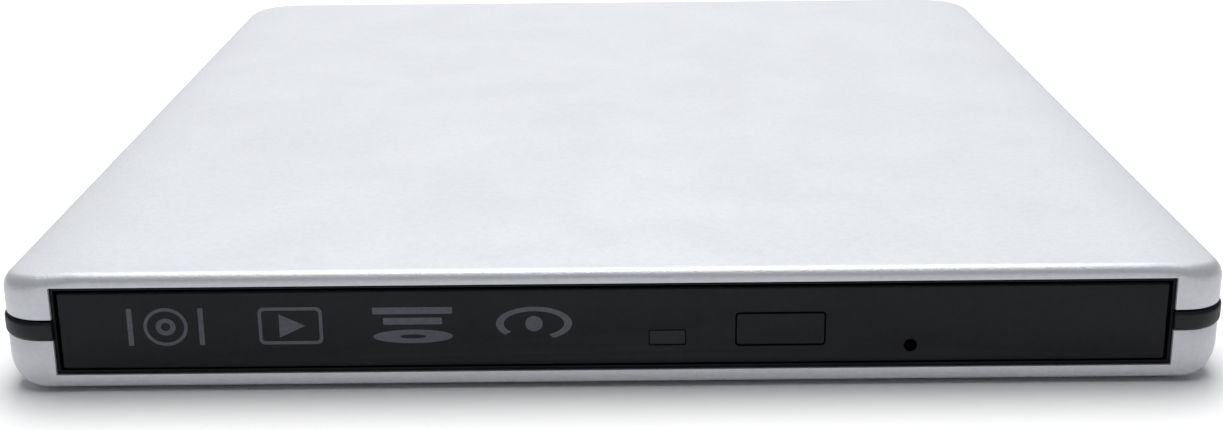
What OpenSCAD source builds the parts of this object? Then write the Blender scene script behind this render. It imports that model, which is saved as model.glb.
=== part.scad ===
// External optical drive: a slim tray-loading disc drive inside a two-shell case.
// The front faces -Y, the tray slides out towards -Y and Z = 0 is the surface it stands on.

/* [Drive] */
// Width of the drive
drive_w = 128; // [126:0.1:160]
// Height of the drive
drive_h = 9.5; // [9.3:0.1:12.7]
// Depth of the drive, bezel included
drive_d = 127; // [126.5:0.1:155]
// Sheet thickness of the drive's pan
pan_t = 0.5; // [0.4:0.05:0.6]
// Sheet thickness of the drive's cover
cover_t = 0.4; // [0.3:0.05:0.5]
// Height of the circuit board's underside above the pan
board_lift = 0.4; // [0.3:0.05:0.6]
// Thickness of the drive's circuit board
board_t = 0.8; // [0.6:0.1:1]
// Width of the drive's circuit board
board_w = 110; // [100:1:114]
// Depth of the drive's circuit board
board_d = 25; // [18:0.5:26]

/* [Case] */
// Room between a side of the drive and the outside of the case
side_room = 7.5; // [7.4:0.1:30]
// Room behind the drive, back wall included
rear_room = 21.3; // [20:0.1:40]
// Free height between the case floor and the drive
drive_lift = 1.35; // [1:0.05:2.5]
// Free height between the drive and the case roof
head_room = 1.25; // [0.5:0.05:3]
// Corner radius seen from above
corner_r = 5.5; // [5:0.5:14]
// Width of the soft shoulder along each side of the lid
shoulder_w = 10.5; // [4:0.5:12]
// Drop of that shoulder
shoulder_h = 2.2; // [1.5:0.1:4]
// Rounding of the front and back edges of the lid
edge_r = 1.3; // [0.6:0.1:2]
// Width of the rounding where a side meets the underside
belly_w = 6.5; // [2:0.5:7]
// Height of that rounding
belly_h = 5; // [2:0.1:5.3]
// Rounding of the front and back edges of the underside
lip_r = 0.6; // [0.3:0.1:1]
// Wall of both shells
wall_t = 0.9; // [0.8:0.1:1.2]

/* [Belt and front frame] */
// Height of the belt's lower edge above the case underside
belt_lift = 5.9; // [5:0.1:7]
// Height of the belt
belt_h = 2.3; // [1.5:0.1:3]
// How far the belt stands proud of the shells
belt_proud = 0.25; // [0.1:0.05:0.5]
// Open joint between the belt and the lid
seam = 0.3; // [0.1:0.05:0.5]
// Thickness of the belt's inner tongue
tongue_t = 0.8; // [0.6:0.1:1.2]
// Reach of the tongue into each shell
tongue_reach = 1.1; // [0.8:0.1:1.5]
// Border left and right of the drive in the front opening
border_x = 0.8; // [0.7:0.05:1.5]
// Border above and below the drive in the front opening
border_z = 0.65; // [0.6:0.05:1.2]
// Thickness of the front frame inside the opening
lining_t = 0.4; // [0.3:0.05:0.6]
// Depth of the front frame
lining_d = 3; // [2:0.5:3.4]
// Recess of the front frame behind the shell face
lining_recess = 0.4; // [0:0.1:1]

/* [Feet and case screws] */
// Radius of a rubber foot
foot_r = 4; // [3:0.5:6]
// Height that a foot stands out
foot_h = 0.5; // [0.3:0.1:1.5]
// Depth of the pocket that a foot sits in
foot_pocket = 0.3; // [0.2:0.1:0.5]
// Distance of a foot from the side of the case
foot_inset_x = 13; // [10:0.5:25]
// Distance of a foot from the front or back of the case
foot_inset_y = 13; // [9:0.5:25]
// Radius of a case screw boss
boss_r = 2.3; // [2.1:0.1:2.6]
// Gap between a boss and the side of the drive
boss_gap = 0.4; // [0.2:0.05:0.5]
// Distance of a boss from the front or back of the case
boss_inset_y = 8.4; // [8:0.1:10]
// Radius of a case screw's shank
case_screw_r = 0.9; // [0.7:0.05:1]
// Radius of a case screw's head
case_head_r = 1.6; // [1.4:0.1:1.8]

/* [Tray] */
// Recess of the bezel behind the shell face
bezel_recess = 0.2; // [0:0.1:0.4]
// Thickness of the bezel's front plate
bezel_t = 1.8; // [1.5:0.1:2]
// Depth of the bezel, rim included
bezel_d = 3.65; // [3.4:0.05:3.8]
// Gap between a side of the tray and the outside of the drive
tray_gap = 2.4; // [2.2:0.05:2.8]
// Thickness of the tray's floor
tray_floor_t = 1; // [0.8:0.1:1.2]
// Height of the tray floor's underside above the middle of the drive
tray_floor_rise = 0.55; // [0.4:0.05:0.8]
// Gap between the tray's rim and the drive's cover
rim_gap = 0.6; // [0.4:0.05:1]
// Width of the thick side of the tray
tray_side_w = 3; // [2.8:0.1:3.2]
// Radius of the disc recess
recess_r = 60.4; // [60.3:0.1:60.5]
// Radius of the shallow inner recess for small discs
small_disc_r = 40.3; // [40.2:0.1:40.5]
// Distance that the tray slides out
tray_travel = 126; // [100:2:128]
// Width of a slide rail
rail_w = 2.4; // [2:0.1:2.6]
// Height of a slide rail
rail_h = 2; // [1.6:0.1:2.2]
// Clearance of a slide rail in its grooves
rail_gap = 0.1; // [0.05:0.01:0.12]
// Wall of a rail guide behind its groove
guide_t = 0.4; // [0.3:0.05:0.5]

/* [Controls] */
// Width of the eject button
button_w = 10.2; // [8:0.1:12]
// Height of the eject button
button_h = 3.9; // [3:0.1:4]
// Button centre, to the right of the middle
button_x = 19.3; // [17:0.1:22]
// Button centre, below the middle of the bezel
button_drop = 0.5; // [0.3:0.1:0.7]
// Clearance around the button
button_gap = 0.12; // [0.08:0.02:0.2]
// Travel of the button
button_travel = 0.6; // [0.3:0.1:0.8]
// Width of the light window
light_w = 4.2; // [2:0.1:5]
// Height of the light window
light_h = 1.8; // [1:0.1:2]
// Light window centre, to the right of the middle
light_x = 6.2; // [4:0.1:9]
// Light window centre, below the middle of the bezel
light_drop = 1.45; // [1.2:0.05:1.5]
// Radius of the emergency release hole
pinhole_r = 0.75; // [0.5:0.05:0.8]
// Release hole centre, to the right of the middle
pinhole_x = 34.4; // [33:0.1:37]
// Release hole centre, below the middle of the bezel
pinhole_drop = 2.7; // [2.5:0.1:2.8]

/* [Spindle and sled] */
// Radius of the hub that centres the disc
hub_r = 7.45; // [7.4:0.01:7.48]
// Radius of the turntable
turntable_r = 14; // [12:0.5:15]
// Height of the disc's underside above the tray floor
disc_lift = 0.85; // [0.6:0.05:1]
// Distance from the disc's centre to the lens with the sled fully in
lens_start_r = 24; // [23:0.5:25]
// Travel of the sled
sled_travel = 34; // [25:0.5:34]
// Angle of the sled's path, from straight out of the front
sled_angle = 43; // [42:0.5:44]
// Radius of the main guide rod
main_rod_r = 1; // [0.8:0.05:1.1]
// Radius of the other guide rod
sub_rod_r = 0.9; // [0.7:0.05:1]
// Distance of the main rod from the sled's centre line
main_rod_x = 16; // [15.5:0.1:16.2]
// Distance of the other rod from the sled's centre line
sub_rod_x = 14; // [13:0.1:14.2]
// Radius of the lead screw
lead_screw_r = 0.9; // [0.7:0.05:1]
// Pitch of the grooves along the lead screw
lead_screw_pitch = 1.5; // [1:0.1:3]
// Distance of the lead screw from the sled's centre line
lead_screw_x = 20; // [19.8:0.1:20.2]
// Radius of the sled motor's can
stepper_r = 1.6; // [1.4:0.1:1.7]
// Running clearance of shafts and rods in their bores
run_gap = 0.06; // [0.03:0.01:0.1]

/* [Bridge board and ports] */
// Thickness of the bridge board
bridge_t = 1; // [0.8:0.1:1.2]
// Width of the bridge board
bridge_w = 96; // [90:1:110]
// Width of the USB port's metal shell
usb_w = 7.7; // [7.5:0.1:12]
// Height of the USB port's metal shell
usb_h = 3.9; // [3:0.1:4]
// Depth of the USB port
usb_d = 9.2; // [8:0.1:10]
// USB port centre, from the middle towards -X
usb_x = 30; // [20:0.5:36]
// Radius of the power socket's hole
jack_r = 1.75; // [1.5:0.05:2]
// Radius of the power socket's centre pin
jack_pin_r = 0.65; // [0.4:0.05:0.8]
// Power socket centre, from the middle towards -X
jack_x = 42; // [41:0.5:44]

/* [Hidden] */
$fn = 64;

cut = 1;                                     // overrun of a cutting solid past the face it cuts
slack = 0.05;                                // free fit between pieces that only sit together
case_w = drive_w + 2 * side_room;
case_d = bezel_recess + drive_d + rear_room;
case_h = 2 * wall_t + drive_lift + drive_h + head_room;
case_z0 = foot_h;
case_z1 = case_z0 + case_h;
floor_z = case_z0 + wall_t;
roof_z = case_z1 - wall_t;
front_y = -case_d / 2;
back_y = case_d / 2;
belt_z0 = case_z0 + belt_lift;
belt_z1 = belt_z0 + belt_h;
lid_z0 = belt_z1 + seam;

drive_z0 = floor_z + drive_lift;
drive_z1 = drive_z0 + drive_h;
drive_mid_z = (drive_z0 + drive_z1) / 2;
bezel_y0 = front_y + bezel_recess;
bezel_y1 = bezel_y0 + bezel_d;
bezel_back = bezel_y0 + bezel_t;
drive_back = bezel_y0 + drive_d;
pan_y0 = bezel_y1 + 0.4;
cover_screw_r = 0.7;
cover_screw_x = drive_w / 2 - 6;
cover_screw_ys = [pan_y0 + 8, drive_back - 6];
foam_w = 100;
foam_d = 10;
foam_ys = [pan_y0 + 12, drive_back - 24];    // front edges of the foam strips
pan_z = drive_z0 + pan_t;
cover_z = drive_z1 - cover_t;
opening_w = drive_w + 2 * border_x;
opening_h = drive_h + 2 * border_z;
opening_z0 = drive_mid_z - opening_h / 2;

boss_x = drive_w / 2 + boss_gap + boss_r;
boss_y = case_d / 2 - boss_inset_y;
boss_split = lid_z0 - seam;
boss_hole_z = case_z1 - shoulder_h + 0.2;    // end of the blind hole in a boss of the lid
foot_x = case_w / 2 - foot_inset_x;
foot_y = case_d / 2 - foot_inset_y;
foot_edge = 0.35;                            // width of the bevel round a foot's sole
foot_edge_h = 0.2;
head_h = 1.1;                                // height of a case screw's head
head_reach = max(0, boss_x + case_head_r + belly_w - case_w / 2) / belly_w;
head_z0 = case_z0 + 0.2 + belly_h * (1 - sqrt(1 - head_reach * head_reach));   // clear of the belly

tray_w = drive_w - 2 * tray_gap;
tray_y0 = bezel_y1 + 0.2;
tray_y1 = drive_back - pan_t - 2.5;
tray_z0 = pan_z + 0.65;                      // lowest edge of the tray's walls
tray_floor_z = drive_mid_z + tray_floor_rise;
tray_top = tray_floor_z + tray_floor_t;
tray_rim_z = cover_z - rim_gap;
tray_wall_t = 0.8;                           // front wall of the tray
tray_step = 0.4;                             // depth of the recess for small discs
disc_z = tray_top + disc_lift;
disc_y = tray_y0 + tray_wall_t + recess_r;
tray_tab_xs = [-50, -14, 50];                // tabs that join the bezel to the tray
guide_x1 = drive_w / 2 - pan_t - slack;
guide_x0 = tray_w / 2 + 0.2;
guide_h = rail_h + 3;
rail_z = drive_mid_z;
rail_x0 = guide_x1 - guide_t - 0.15 - rail_w;
rail_y0 = tray_y0 + 2.2;
rail_y1 = tray_y1 - 0.5;

shield_t = 0.3;
shield_z = pan_z + 0.5;
shield_x0 = -tray_w / 2 + tray_side_w + 0.2;
shield_x1 = 22;
shield_places = [[-54, disc_y - 55], [-54, disc_y + 26], [18, disc_y + 26], [-6, disc_y - 53]];  // its screws
shield_screw_r = 0.6;
shield_head_r = 1.2;
shield_boss_r = 1.6;
mech_z = shield_z + shield_t + 0.2;          // lowest level of the parts above the shield
deck_t = 0.6;
deck_z = tray_floor_z - deck_t - 0.15;
deck_y1 = disc_y + 30;                       // rear limit of the deck, from which the board keeps clear
damper_places = [[18, 8], [18, -45], [-25, -8], [-25, -44]];   // in the sled's frame
damper_r = 2.2;
damper_hole_r = 1.5;
damper_bore_r = 0.8;
rod_z = deck_z - 1.6;
rod_y0 = -66.6;
rod_y1 = -11.6;
clip_d = 1.6;
clip_w = 3.2;
sled_front = 6.5;                            // sled's reach outwards from the lens
sled_back = 9;                               // sled's reach inwards from the lens
sled_z0 = mech_z;
sled_z1 = deck_z - 0.15;
sled_side = 1.8;                             // sled's reach past the axis of the main rod
lens_r = 1.9;
lens_h = 1;
lens_focus = 0.3;                            // travel of the lens up and down
holder_w = 7.2;
holder_d = 8.4;
holder_z0 = sled_z0 + 1.6;
holder_z1 = tray_floor_z - lens_focus - 0.15;
lens_z0 = holder_z1 - 0.6;
window_r = lens_start_r + sled_travel + lens_r + 0.3;          // reach of the tray's window
nut_back = 4;                                // nut's centre, inwards from the lens
nut_half = 2.5;
nut_w = 3.2;
screw_y0 = -60.4;
screw_y1 = -16.5;
screw_end_r = 0.5;
lead_screw_z = mech_z + stepper_r;
stepper_d = 10;
shaft_r = 0.75;
rotor_r = 10.4;
rotor_t = 0.75;                              // thickness of the turntable
stator_r = 8.8;
stator_poles = 9;
pad_h = 0.25;
hub_top = cover_z - 0.45;
pawl_w = 2.5;

board_y1 = drive_back - pan_t - 2.2;
board_y0 = board_y1 - board_d;
board_z = pan_z + board_lift;
board_top = board_z + board_t;
board_screw_xs = [-board_w / 2 + 4, board_w / 2 - 4];
board_screw_y = board_y1 - 4;
board_screw_r = 0.8;

button_z = drive_mid_z - button_drop;
light_z = drive_mid_z - light_drop;
pinhole_z = drive_mid_z - pinhole_drop;
front_board_t = 0.6;
front_board_top = light_z - light_h / 2;
front_board_z = front_board_top - front_board_t;
front_board_x0 = 1;
front_board_x1 = 30;
front_board_y0 = tray_y0 + tray_wall_t + 0.2;
front_board_d = 10.5;
stem_tip_y = front_board_y0 + 0.5;

post_x = 51.5;
post_y = -50;
post_r = 1.2;
post_foot_r = 0.7;
latch_x = 50;
latch_y = -60;
latch_pin_r = 0.8;
latch_z = pan_z + 1.2;
latch_t = 1.4;
solenoid_x = latch_x - 6;
solenoid_z = latch_z + 1.5;
plunger_r = 1;
ribbon_x0 = 24;
ribbon_x1 = 44;
ribbon_t = 0.12;
ribbon_end = 19;                             // where the ribbon is fixed to the tray
ribbon_front = ribbon_end - tray_travel / 2; // its fold with the tray shut, straight when the tray is out
ribbon_z = pan_z + 0.05;
ribbon_fold_r = 0.65;
ribbon_step = 0.2;                           // offset that keeps the three stretches apart as they slide

bridge_z = drive_z0 + 0.9;
bridge_top = bridge_z + bridge_t;
bridge_y1 = back_y - wall_t - tongue_t - 0.6;
bridge_y0 = drive_back + 1.2;
bridge_hole_r = 1.1;
bridge_screw_x = bridge_w / 2 - 3;
bridge_screw_y = (bridge_y0 + bridge_y1) / 2;
usb_sheet = 0.35;
jack_d = 9;
jack_body_r = jack_r + 0.8;
port_gap = 0.2;                              // clearance of the case round a port
socket_x = 14;                               // centre of the drive connector
socket_w = 34;
socket_h = 4;
socket_d = 5.6;
socket_wall = 1;
socket_floor = 0.8;
socket_gap = 0.15;
plug_t = 1.8;
plug_z = bridge_top + socket_floor + socket_gap;

// Points along an elliptical arc
function arc(cx, cz, rx, rz, from, to, steps) =
    [for (i = [0:steps]) let (a = from + (to - from) * i / steps) [cx + rx * cos(a), cz + rz * sin(a)]];

// Four corners of a rectangular pattern
function corners(x, y) = [[x, y], [-x, y], [-x, -y], [x, -y]];

// Outline of the case seen from above, moved inwards by inset
module plan(inset) {
    w = case_w - 2 * inset;
    d = case_d - 2 * inset;
    r = corner_r - inset;
    square([w - 2 * r, d], center = true);
    square([w, d - 2 * r], center = true);
    for (c = corners(w / 2 - r, d / 2 - r)) translate(c) circle(r);
}

// Section of the case seen from the front: soft shoulders above, rounded belly below
module front_section(inset) {
    half = case_w / 2;
    right = concat(
        arc(half - belly_w, case_z0 + belly_h, belly_w - inset, belly_h - inset, -90, 0, 8),
        arc(half - shoulder_w, case_z1 - shoulder_h, shoulder_w - inset, shoulder_h - inset, 0, 90, 12));
    left = [for (i = [len(right) - 1:-1:0]) [-right[i][0], right[i][1]]];
    polygon(concat(right, left));
}

// Section of the case seen from the side: small roundings front and back
module side_section(inset) {
    half = case_d / 2;
    lid_r = max(edge_r - inset, 0.2);
    base_r = max(lip_r - inset, 0.2);
    back = concat(
        arc(half - inset - base_r, case_z0 + inset + base_r, base_r, base_r, -90, 0, 5),
        arc(half - inset - lid_r, case_z1 - inset - lid_r, lid_r, lid_r, 0, 90, 8));
    front = [for (i = [len(back) - 1:-1:0]) [-back[i][0], back[i][1]]];
    polygon(concat(back, front));
}

// Solid of the whole case, moved inwards by inset
module case_solid(inset) {
    intersection() {
        linear_extrude(case_z1 + cut) plan(inset);
        translate([0, case_d, 0]) rotate([90, 0, 0]) linear_extrude(2 * case_d) front_section(inset);
        translate([-case_w, 0, 0]) rotate([90, 0, 90]) linear_extrude(2 * case_w) side_section(inset);
    }
}

// Box between two corners
module block(low, high) {
    translate(low) cube(high - low);
}

// The case's hollow and its front opening
module case_hollow() {
    case_solid(wall_t);
    block([-opening_w / 2, front_y - cut, opening_z0],
        [opening_w / 2, front_y + wall_t + cut, opening_z0 + opening_h]);
}

// Holes in the back wall for the ports
module port_holes(gap) {
    block([-usb_x - usb_w / 2 - gap, back_y - wall_t - tongue_t - cut, bridge_top - gap],
        [-usb_x + usb_w / 2 + gap, back_y + cut, bridge_top + usb_h + gap]);
    translate([-jack_x, back_y + cut, bridge_top + jack_body_r])
        rotate([90, 0, 0]) cylinder(h = wall_t + tongue_t + 2 * cut, r = jack_body_r + gap);
}

// Upper shell of the case
module top_shell() {
    color([0.9, 0.91, 0.92]) difference() {
        union() {
            difference() {
                case_solid(0);
                case_hollow();
                block([-case_w, -case_d, 0], [case_w, case_d, lid_z0]);
            }
            intersection() {
                case_solid(wall_t / 2);
                for (c = corners(boss_x, boss_y)) translate([c[0], c[1], boss_split])
                    cylinder(h = case_h, r = boss_r);
            }
        }
        for (c = corners(boss_x, boss_y)) translate([c[0], c[1], 0])
            cylinder(h = boss_hole_z, r = case_screw_r + slack);
        port_holes(port_gap);
    }
}

// Lower shell of the case
module bottom_shell() {
    color([0.88, 0.89, 0.9]) difference() {
        union() {
            difference() {
                case_solid(0);
                case_hollow();
                block([-case_w, -case_d, belt_z0], [case_w, case_d, case_z1 + cut]);
            }
            intersection() {
                case_solid(wall_t / 2);
                for (c = corners(boss_x, boss_y)) translate([c[0], c[1], case_z0])
                    cylinder(h = boss_split - case_z0, r = boss_r);
            }
        }
        for (c = corners(boss_x, boss_y)) translate([c[0], c[1], 0]) {
            cylinder(h = case_z1, r = case_screw_r + slack);
            cylinder(h = head_z0 + head_h + slack, r = case_head_r + slack);
        }
        for (c = corners(foot_x, foot_y)) translate([c[0], c[1], 0])
            cylinder(h = case_z0 + foot_pocket, r = foot_r);
        port_holes(port_gap);
    }
}

// Black belt round the sides and back, with the frame that lines the front opening
module mid_frame() {
    tongue_out = wall_t + slack;
    tongue_in = tongue_out + tongue_t;
    lining_w = opening_w - 2 * slack;
    lining_h = opening_h - 2 * slack;
    color([0.12, 0.12, 0.14]) difference() {
        union() {
            difference() {
                union() {
                    translate([0, 0, belt_z0 + slack]) linear_extrude(belt_h - slack) plan(-belt_proud);
                    translate([0, 0, belt_z0 - tongue_reach])
                        linear_extrude(belt_h + seam + 2 * tongue_reach) plan(tongue_out);
                }
                linear_extrude(case_z1) plan(tongue_in);
                block([-lining_w / 2, front_y - cut, 0], [lining_w / 2, front_y + 2 * tongue_in, case_z1]);
            }
            block([-lining_w / 2, front_y + lining_recess, opening_z0 + slack],
                [lining_w / 2, front_y + lining_recess + lining_d, opening_z0 + slack + lining_h]);
        }
        block([-lining_w / 2 + lining_t, front_y - cut, opening_z0 + slack + lining_t],
            [lining_w / 2 - lining_t, front_y + 2 * lining_d, opening_z0 + slack + lining_h - lining_t]);
        port_holes(port_gap);
    }
}

// Four feet in shallow pockets under the case
module rubber_feet() {
    color([0.08, 0.08, 0.08]) for (c = corners(foot_x, foot_y)) translate([c[0], c[1], 0]) {
        cylinder(h = foot_edge_h, r1 = foot_r - foot_edge, r2 = foot_r - slack);
        translate([0, 0, foot_edge_h]) cylinder(h = case_z0 + foot_pocket - foot_edge_h, r = foot_r - slack);
    }
}

// Four countersunk screws that hold the shells together
module case_screws() {
    slot_reach = case_head_r * 0.6;
    slot_half = 0.2;
    color([0.6, 0.6, 0.62]) for (c = corners(boss_x, boss_y)) translate([c[0], c[1], head_z0]) difference() {
        union() {
            cylinder(h = head_h, r = case_head_r);
            cylinder(h = boss_hole_z - 0.3 - head_z0, r = case_screw_r);
        }
        for (turn = [0, 90]) rotate([0, 0, turn])
            block([-slot_reach, -slot_half, -cut], [slot_reach, slot_half, head_h / 2]);
    }
}

// Foam strips that the drive rests on
module foam_pads() {
    color([0.25, 0.25, 0.27]) for (y = foam_ys)
        block([-foam_w / 2, y, floor_z], [foam_w / 2, y + foam_d, drive_z0]);
}

// Circuit board of the USB bridge, between the drive and the back wall
module bridge_board() {
    color([0.05, 0.3, 0.2]) difference() {
        block([-bridge_w / 2, bridge_y0, bridge_z], [bridge_w / 2, bridge_y1, bridge_top]);
        for (x = [-bridge_screw_x, bridge_screw_x]) translate([x, bridge_screw_y, 0])
            cylinder(h = roof_z, r = bridge_hole_r);
    }
}

// A flat chip with a row of leads along two or four sides
module chip(w, d, h, pitch, sides) {
    block([-w / 2, -d / 2, 0.1], [w / 2, d / 2, h]);
    for (turn = sides) rotate([0, 0, turn]) {
        run = turn % 180 == 0 ? w : d;
        reach = (turn % 180 == 0 ? d : w) / 2;
        pins = floor((run - 1) / pitch);
        for (i = [0:pins - 1]) translate([(i - (pins - 1) / 2) * pitch, 0, 0])
            block([-pitch / 4, -reach - 0.7, 0], [pitch / 4, -reach + 0.2, 0.25]);
    }
}

// Bridge controller chip
module bridge_chip() {
    color([0.1, 0.1, 0.11]) translate([-2, bridge_screw_y + 2, bridge_top])
        chip(8, 8, 1.1, 1, [0, 90, 180, 270]);
}

// Clock crystal, chip capacitors, a coil and a power inductor on the bridge board
module bridge_components() {
    color([0.66, 0.6, 0.5]) {
        translate([9, bridge_screw_y + 4, bridge_top]) {
            block([-3, -1.6, 0], [3, 1.6, 0.4]);
            block([-2.5, -1.2, 0.3], [2.5, 1.2, 2]);
        }
        for (x = [-12, -15, -18, 34, 37]) translate([x, bridge_y0 + 4, bridge_top])
            block([-0.8, -0.5, 0], [0.8, 0.5, 0.7]);
        translate([39, bridge_screw_y + 3, bridge_top]) cylinder(h = 3, r = 2.5);
        translate([-20, bridge_screw_y + 4, bridge_top]) block([-2, -2, 0], [2, 2, 1.8]);
    }
}

// Two screws that hold the bridge board to pillars on the case floor
module bridge_screws() {
    bridge_screw_r = bridge_hole_r - 0.2;
    color([0.6, 0.6, 0.62]) for (x = [-bridge_screw_x, bridge_screw_x]) translate([x, bridge_screw_y, 0]) {
        translate([0, 0, bridge_top]) cylinder(h = 1, r = 2 * bridge_screw_r);
        translate([0, 0, floor_z + 0.2]) cylinder(h = bridge_top - floor_z - 0.1, r = bridge_screw_r);
    }
}

// Metal shell of the USB port
module usb_port() {
    color([0.78, 0.78, 0.8]) translate([-usb_x, back_y - usb_d, bridge_top]) difference() {
        union() {
            block([-usb_w / 2, 0, 0], [usb_w / 2, usb_d, usb_h]);
            for (side = [-1, 1]) translate([side * (usb_w / 2 + 0.5), 3, 0])
                block([-0.55, -1, 0], [0.55, 1, 0.3]);
        }
        block([-usb_w / 2 + usb_sheet, 1, usb_sheet], [usb_w / 2 - usb_sheet, usb_d + cut, usb_h - usb_sheet]);
    }
}

// Contact tongue inside the USB port
module usb_tongue() {
    color([0.1, 0.1, 0.1]) translate([-usb_x, back_y - usb_d, bridge_top]) {
        block([-usb_w / 2 + usb_sheet, 1, usb_sheet], [usb_w / 2 - usb_sheet, 2.4, usb_h - usb_sheet]);
        block([-usb_w / 2 + 1.5, 2.4, usb_h / 2 - 0.1], [usb_w / 2 - 1.5, usb_d - 1, usb_h / 2 + 0.9]);
    }
}

// Body of the power socket
module power_jack() {
    color([0.1, 0.1, 0.1]) translate([-jack_x, back_y - jack_d, bridge_top]) difference() {
        union() {
            block([-jack_body_r, 0, 0], [jack_body_r, jack_d - wall_t - tongue_t - 0.6, 2 * jack_body_r]);
            translate([0, 0, jack_body_r]) rotate([-90, 0, 0]) cylinder(h = jack_d, r = jack_body_r);
        }
        translate([0, 1.5, jack_body_r]) rotate([-90, 0, 0]) cylinder(h = jack_d, r = jack_r);
    }
}

// Centre pin of the power socket
module power_jack_pin() {
    color([0.8, 0.7, 0.4]) translate([-jack_x, back_y - jack_d + 1.5, bridge_top + jack_body_r])
        rotate([-90, 0, 0]) cylinder(h = jack_d - 2.5, r = jack_pin_r);
}

// Connector on the bridge board that takes the drive's plug
module drive_socket() {
    color([0.1, 0.1, 0.11]) difference() {
        block([socket_x - socket_w / 2, bridge_y0 - 0.6, bridge_top],
            [socket_x + socket_w / 2, bridge_y0 - 0.6 + socket_d, bridge_top + socket_h]);
        block([socket_x - socket_w / 2 + socket_wall, bridge_y0 - cut, bridge_top + socket_floor],
            [socket_x + socket_w / 2 - socket_wall, bridge_y0 + 3, plug_z + plug_t + socket_gap]);
    }
}

// Drive's own data and power plug, on the rear edge of its board
module drive_plug() {
    plug_half = socket_w / 2 - socket_wall;
    color([0.12, 0.12, 0.13]) {
        block([socket_x - plug_half + socket_gap, board_y1 - 4, plug_z],
            [socket_x + plug_half - socket_gap, bridge_y0 + 1.5, plug_z + plug_t]);
        block([socket_x - plug_half, board_y1 - 4, board_top], [socket_x + plug_half, board_y1 - 1, plug_z]);
    }
}

// Sheet-steel pan of the drive
module drive_pan() {
    half = drive_w / 2;
    color([0.72, 0.73, 0.75]) difference() {
        union() {
            difference() {
                block([-half, pan_y0, drive_z0], [half, drive_back, cover_z]);
                block([-half + pan_t, pan_y0 - cut, pan_z], [half - pan_t, drive_back - pan_t, drive_z1]);
            }
            for (x = board_screw_xs) translate([x, board_screw_y, pan_z - pan_t / 2])
                cylinder(h = board_lift + pan_t / 2, r = 2);
        }
        block([socket_x - socket_w / 2 - 0.5, drive_back - 2 * pan_t, pan_z + 0.1],
            [socket_x + socket_w / 2 + 0.5, drive_back + cut, bridge_top + socket_h + 0.3]);
        for (x = board_screw_xs) translate([x, board_screw_y, drive_z0 - cut])
            cylinder(h = 4, r = board_screw_r);
        translate([post_x, post_y, drive_z0 - cut]) cylinder(h = 4, r = post_foot_r);
        for (x = [-45, -15, 15, 45])
            block([x - 6, pan_y0 + 14, drive_z0 - cut], [x + 6, pan_y0 + 16, drive_z0 + 0.15]);
    }
}

// Sheet-steel lid of the drive, with a shallow pressed ring over the spindle
module drive_cover() {
    half = drive_w / 2;
    color([0.75, 0.76, 0.78]) difference() {
        block([-half, pan_y0, cover_z], [half, drive_back, drive_z1]);
        translate([0, disc_y, drive_z1 - cover_t / 3]) difference() {
            cylinder(h = cut, r = 46);
            translate([0, 0, -cut]) cylinder(h = 3 * cut, r = 40);
        }
        for (x = [-cover_screw_x, cover_screw_x]) for (y = cover_screw_ys) translate([x, y, 0])
            cylinder(h = roof_z, r = cover_screw_r + slack);
    }
}

// Four flat-headed screws of the drive's cover
module cover_screws() {
    color([0.55, 0.55, 0.57]) for (x = [-cover_screw_x, cover_screw_x]) for (y = cover_screw_ys)
        translate([x, y, 0]) {
            translate([0, 0, drive_z1]) cylinder(h = 0.25, r = 1.3);
            translate([0, 0, cover_z]) cylinder(h = cover_t, r = cover_screw_r);
        }
}

// Channel along one side of the pan in which a slide rail runs
module guide() {
    color([0.85, 0.85, 0.83]) difference() {
        block([guide_x0, pan_y0 + 1, rail_z - guide_h / 2], [guide_x1, tray_y1 - 0.5, rail_z + guide_h / 2]);
        block([guide_x0 - cut, pan_y0 - cut, rail_z - rail_h / 2 - rail_gap],
            [guide_x1 - guide_t, tray_y1 + cut, rail_z + rail_h / 2 + rail_gap]);
    }
}

module right_guide() {
    guide();
}

module left_guide() {
    mirror([1, 0, 0]) guide();
}

// Steel bar that joins the tray to the guide and slides out half as far as the tray
module rail() {
    color([0.7, 0.71, 0.73]) difference() {
        block([rail_x0, rail_y0, rail_z - rail_h / 2], [rail_x0 + rail_w, rail_y1, rail_z + rail_h / 2]);
        for (y = [rail_y0 + 6, rail_y1 - 6]) translate([rail_x0 + rail_w / 2, y, 0])
            cylinder(h = case_z1, r = 0.4);
    }
}

module right_rail() {
    rail();
}

module left_rail() {
    mirror([1, 0, 0]) rail();
}

// Main circuit board of the drive
module main_board() {
    color([0.04, 0.28, 0.16]) difference() {
        block([-board_w / 2, board_y0, board_z], [board_w / 2, board_y1, board_top]);
        for (x = board_screw_xs) translate([x, board_screw_y, 0]) cylinder(h = roof_z, r = board_screw_r);
        translate([-board_w / 2, board_y0, board_z - cut]) cylinder(h = 4, r = 8);
    }
}

// Controller chip of the drive
module controller_chip() {
    color([0.1, 0.1, 0.11]) translate([-14, (board_y0 + board_y1) / 2 - 1, board_top])
        chip(14, 14, 1.1, 1, [0, 90, 180, 270]);
}

// Motor driver chip of the drive
module driver_chip() {
    color([0.12, 0.12, 0.13]) translate([-38, (board_y0 + board_y1) / 2 - 1, board_top])
        chip(10, 7, 1, 0.8, [0, 180]);
}

// Socket of the ribbon cable on the main board
module ribbon_connector() {
    color([0.9, 0.88, 0.82]) difference() {
        block([ribbon_x0 - 2, board_y0 + 1, board_top], [ribbon_x1 + 2, board_y0 + 4, board_top + 0.9]);
        block([ribbon_x0 - 0.2, board_y0, board_top + 0.3], [ribbon_x1 + 0.2, board_y0 + 3.1, board_top + 0.6]);
    }
}

// Fixed post that the latch hooks behind
module catch_post() {
    color([0.7, 0.7, 0.72]) translate([post_x, post_y, 0]) {
        translate([0, 0, drive_z0 + 0.1]) cylinder(h = pan_z - drive_z0, r = post_foot_r);
        translate([0, 0, pan_z]) cylinder(h = latch_z + latch_t + 0.4 - pan_z, r = post_r);
    }
}

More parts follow.
